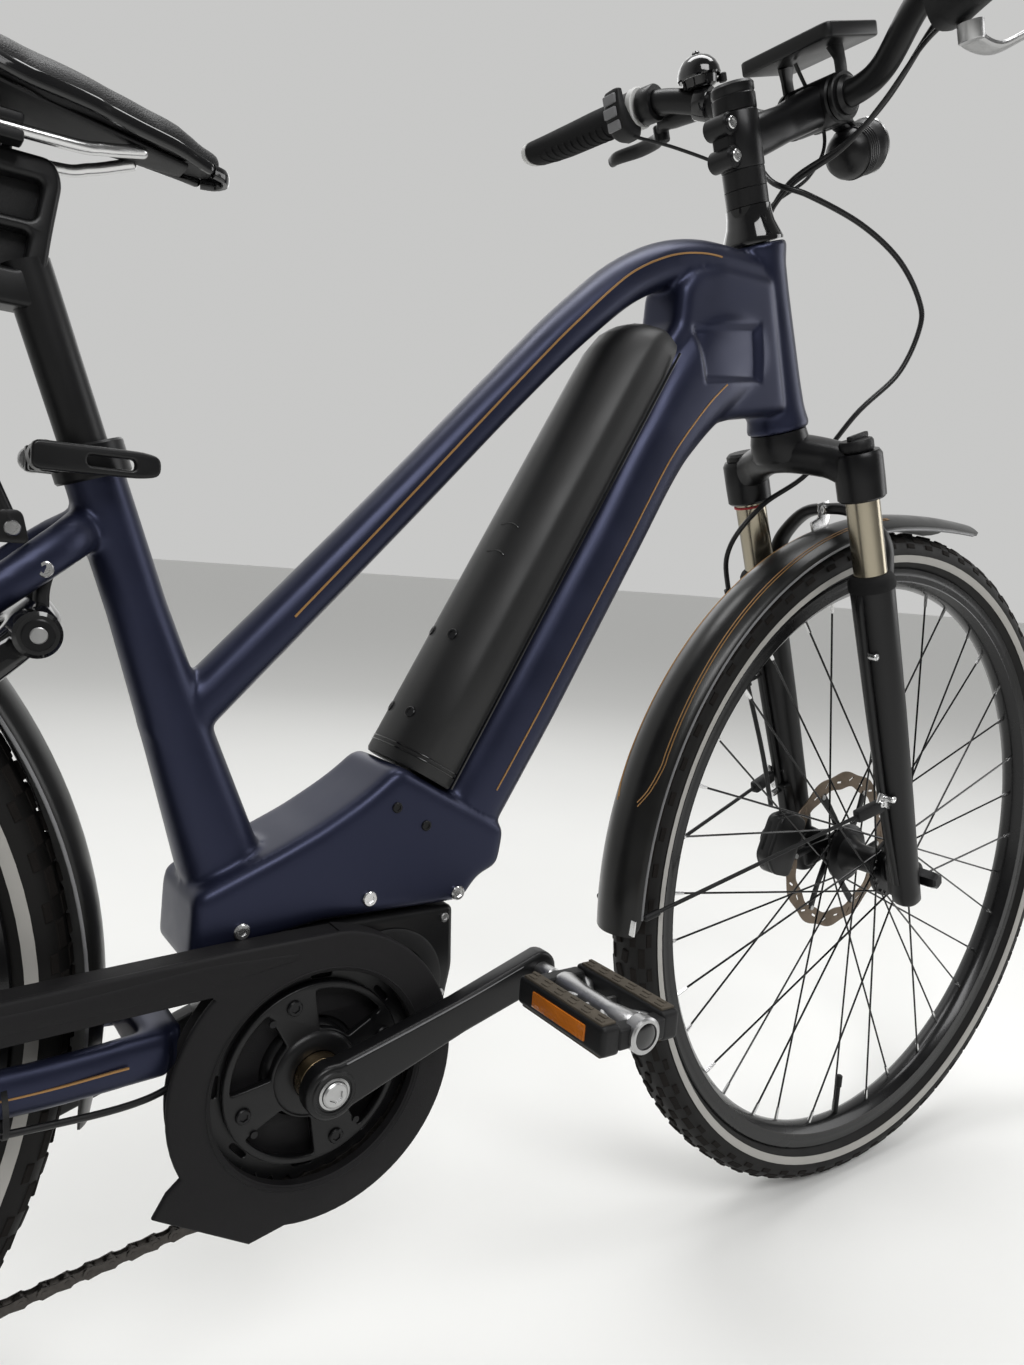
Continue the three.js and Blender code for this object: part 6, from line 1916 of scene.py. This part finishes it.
def add_ring_lock():
    place = lock_frame()
    outer = [(292, 57), (350, 60), (386, 57), (405, 42), (414, 22)]
    inner = [(292, 39), (350, 38.5), (376, 35), (386, 20)]
    loop = both_ways(outer, (416, 0)) + both_ways(inner, (390, 0))[::-1]
    lock = Shape().plate(rounded(loop, 12), -9.5, 9.5, bevel=5, steps=5, place=place)
    lock.rod(place @ Vector((394, 0, -66)), place @ Vector((394, 0, -40)), 12.5, 36, bevel=2)
    lock.rod(place @ Vector((360, 0, 52)), place @ Vector((360, 0, 62.4)), 7, 28, bevel=1.4)
    lock.make("ring_lock_skin", "frame", "gloss", "ring_lock", sharp=42)
    core = Shape().rod(place @ Vector((394, 0, -67)), place @ Vector((394, 0, -60)), 8.6, 32, bevel=0.8)
    core.make("ring_lock_cylinder", "frame", "alloy")
    keyway = Shape().rod(place @ Vector((394, 0, -67.8)), place @ Vector((394, 0, -64)), 4.4, 24, bevel=0.5)
    keyway.make("ring_lock_keyway", "frame", "nickel")
    mounts = Shape()
    for side in (-1, 1):
        mounts.tube([place @ Vector((400, 6, side * 26)), (-168, side * 24, 610), (-160, side * 18, 632)],
            [(4, 6, 3)], sides=16, steps=12, ends=1)
    mounts.make("ring_lock_mounts", "frame", "plastic")
    lever = Shape().block((16, 11, 8), place @ Vector((350, 0, 66)), turn=-40, bevel=2.4, segments=4)
    lever.tube([place @ Vector((350, 0, 62)), place @ Vector((350, 0, 70)), place @ Vector((344, 0, 75))],
        [(5, 7, 2.6)], sides=20, steps=10, across=Z, ends=2)
    lever.make("lock_lever_skin", "lock_slider", "mist", "lock_lever")


def add_stand():
    pivot, foot = Vector((-424, 93, 322)), Vector((-390, 155, 7))
    hinge = Vector(joint("stand_fold")["axis"]).normalized()
    leg = Shape()
    bend = pivot.lerp(foot, 0.12) + Vector((-3, 2, 0))
    leg.tube([pivot, bend, pivot.lerp(foot, 0.55), foot],
        [(10, 9, 2.4), (9.4, 8.8, 2.2), (8.6, 8.6, 2), (8, 8, 2)], sides=28, steps=40)
    leg.lathe([(0, -9.8), (12.6, -9.8), (14, -8.6), (14, 8.8), (12.6, 10.4), (0, 10.8)], pivot, hinge, 40)
    leg.make("stand_leg_skin", "side_stand", "satin", "stand_leg")
    bolt = Shape().bolt(pivot + hinge * 10.6, hinge, 6.5, 3)
    bolt.make("stand_bolt", "side_stand", "steel")
    shoe = Shape().lathe([(0, 0), (17, 0), (18, 1.4), (17, 8), (13, 13), (9.6, 24), (9, 30), (0, 30)],
        (foot.x, foot.y, 0), Z, 40, shape=lambda t: 1 + 0.015 * math.cos(20 * t))
    shoe.make("stand_shoe", "side_stand", "grip")


def add_rear_axle():
    axle = Shape(REAR).lathe([(0, -93), (8, -93), (9.4, -91), (9.8, -76), (8, -74.6), (0, -74.6)], steps=6)
    axle.rod((0, -76, 0), (0, 76, 0), 6, 24)
    axle.lathe([(0, 74.4), (9, 74.4), (10.4, 76), (10.4, 82), (8.6, 84.6), (0, 85)], steps=40)
    axle.make("rear_axle_skin", "frame", "alloy", "rear_axle")


def add_rear_caliper():
    turn = math.radians(25)
    x, z = polar(99, turn)
    lean = Matrix.Rotation(math.pi / 2 - turn, 4, "Y")
    place = Matrix.Translation((REAR_HUB[0] + x, 44, REAR_HUB[1] + z)) @ lean
    body, bolts = caliper_shape(BIKE, place)
    body.make("rear_caliper", "frame", "satin")
    bolts.make("rear_caliper_bolts", "frame", "steel")


def add_frame_cables():
    """The hose and the gear cable that lie along the chainstays."""
    lines = Shape().tube([(-70, 36, 322), (-110, 50, 316), (-187, 58, 313), (-300, 66, 321),
        (-372, 66, 330), (-398, 56, 356), (-404, 50, 384)], 2.5, sides=12, steps=70)
    lines.tube([(-70, -36, 314), (-110, -48, 304), (-187, -56, 308), (-330, -66, 321), (-430, -76, 330),
        (-500, -88, 318), (-532, -86, 306), (-530, -78, 296), (-514, -74, 297)], 2.2, sides=12, steps=90)
    lines.make("chainstay_cables", "frame", "hose")
    ties = Shape()
    for spot in ((-187, 53, 320), (-300, 59, 329), (-187, -51, 320), (-330, -60, 330)):
        ties.hoop([(15, -1.6), (16, -1.6), (16, 1.6), (15, 1.6)], spot, X, 32,
            shape=lambda t: 1 / (1 + 0.35 * abs(math.sin(t)) ** 2))
    ties.make("cable_ties", "frame", "plastic")


def add_rear():
    add_rear_fender()
    add_rack()
    add_ring_lock()
    add_stand()
    add_rear_axle()
    add_rear_caliper()
    add_frame_cables()


# ---------------------------------------------------------------- the build

make_camera()
make_studio()
add_wheels()
add_frame()
add_fork_parts()
add_drive()
add_cockpit()
add_seat()
add_rear()
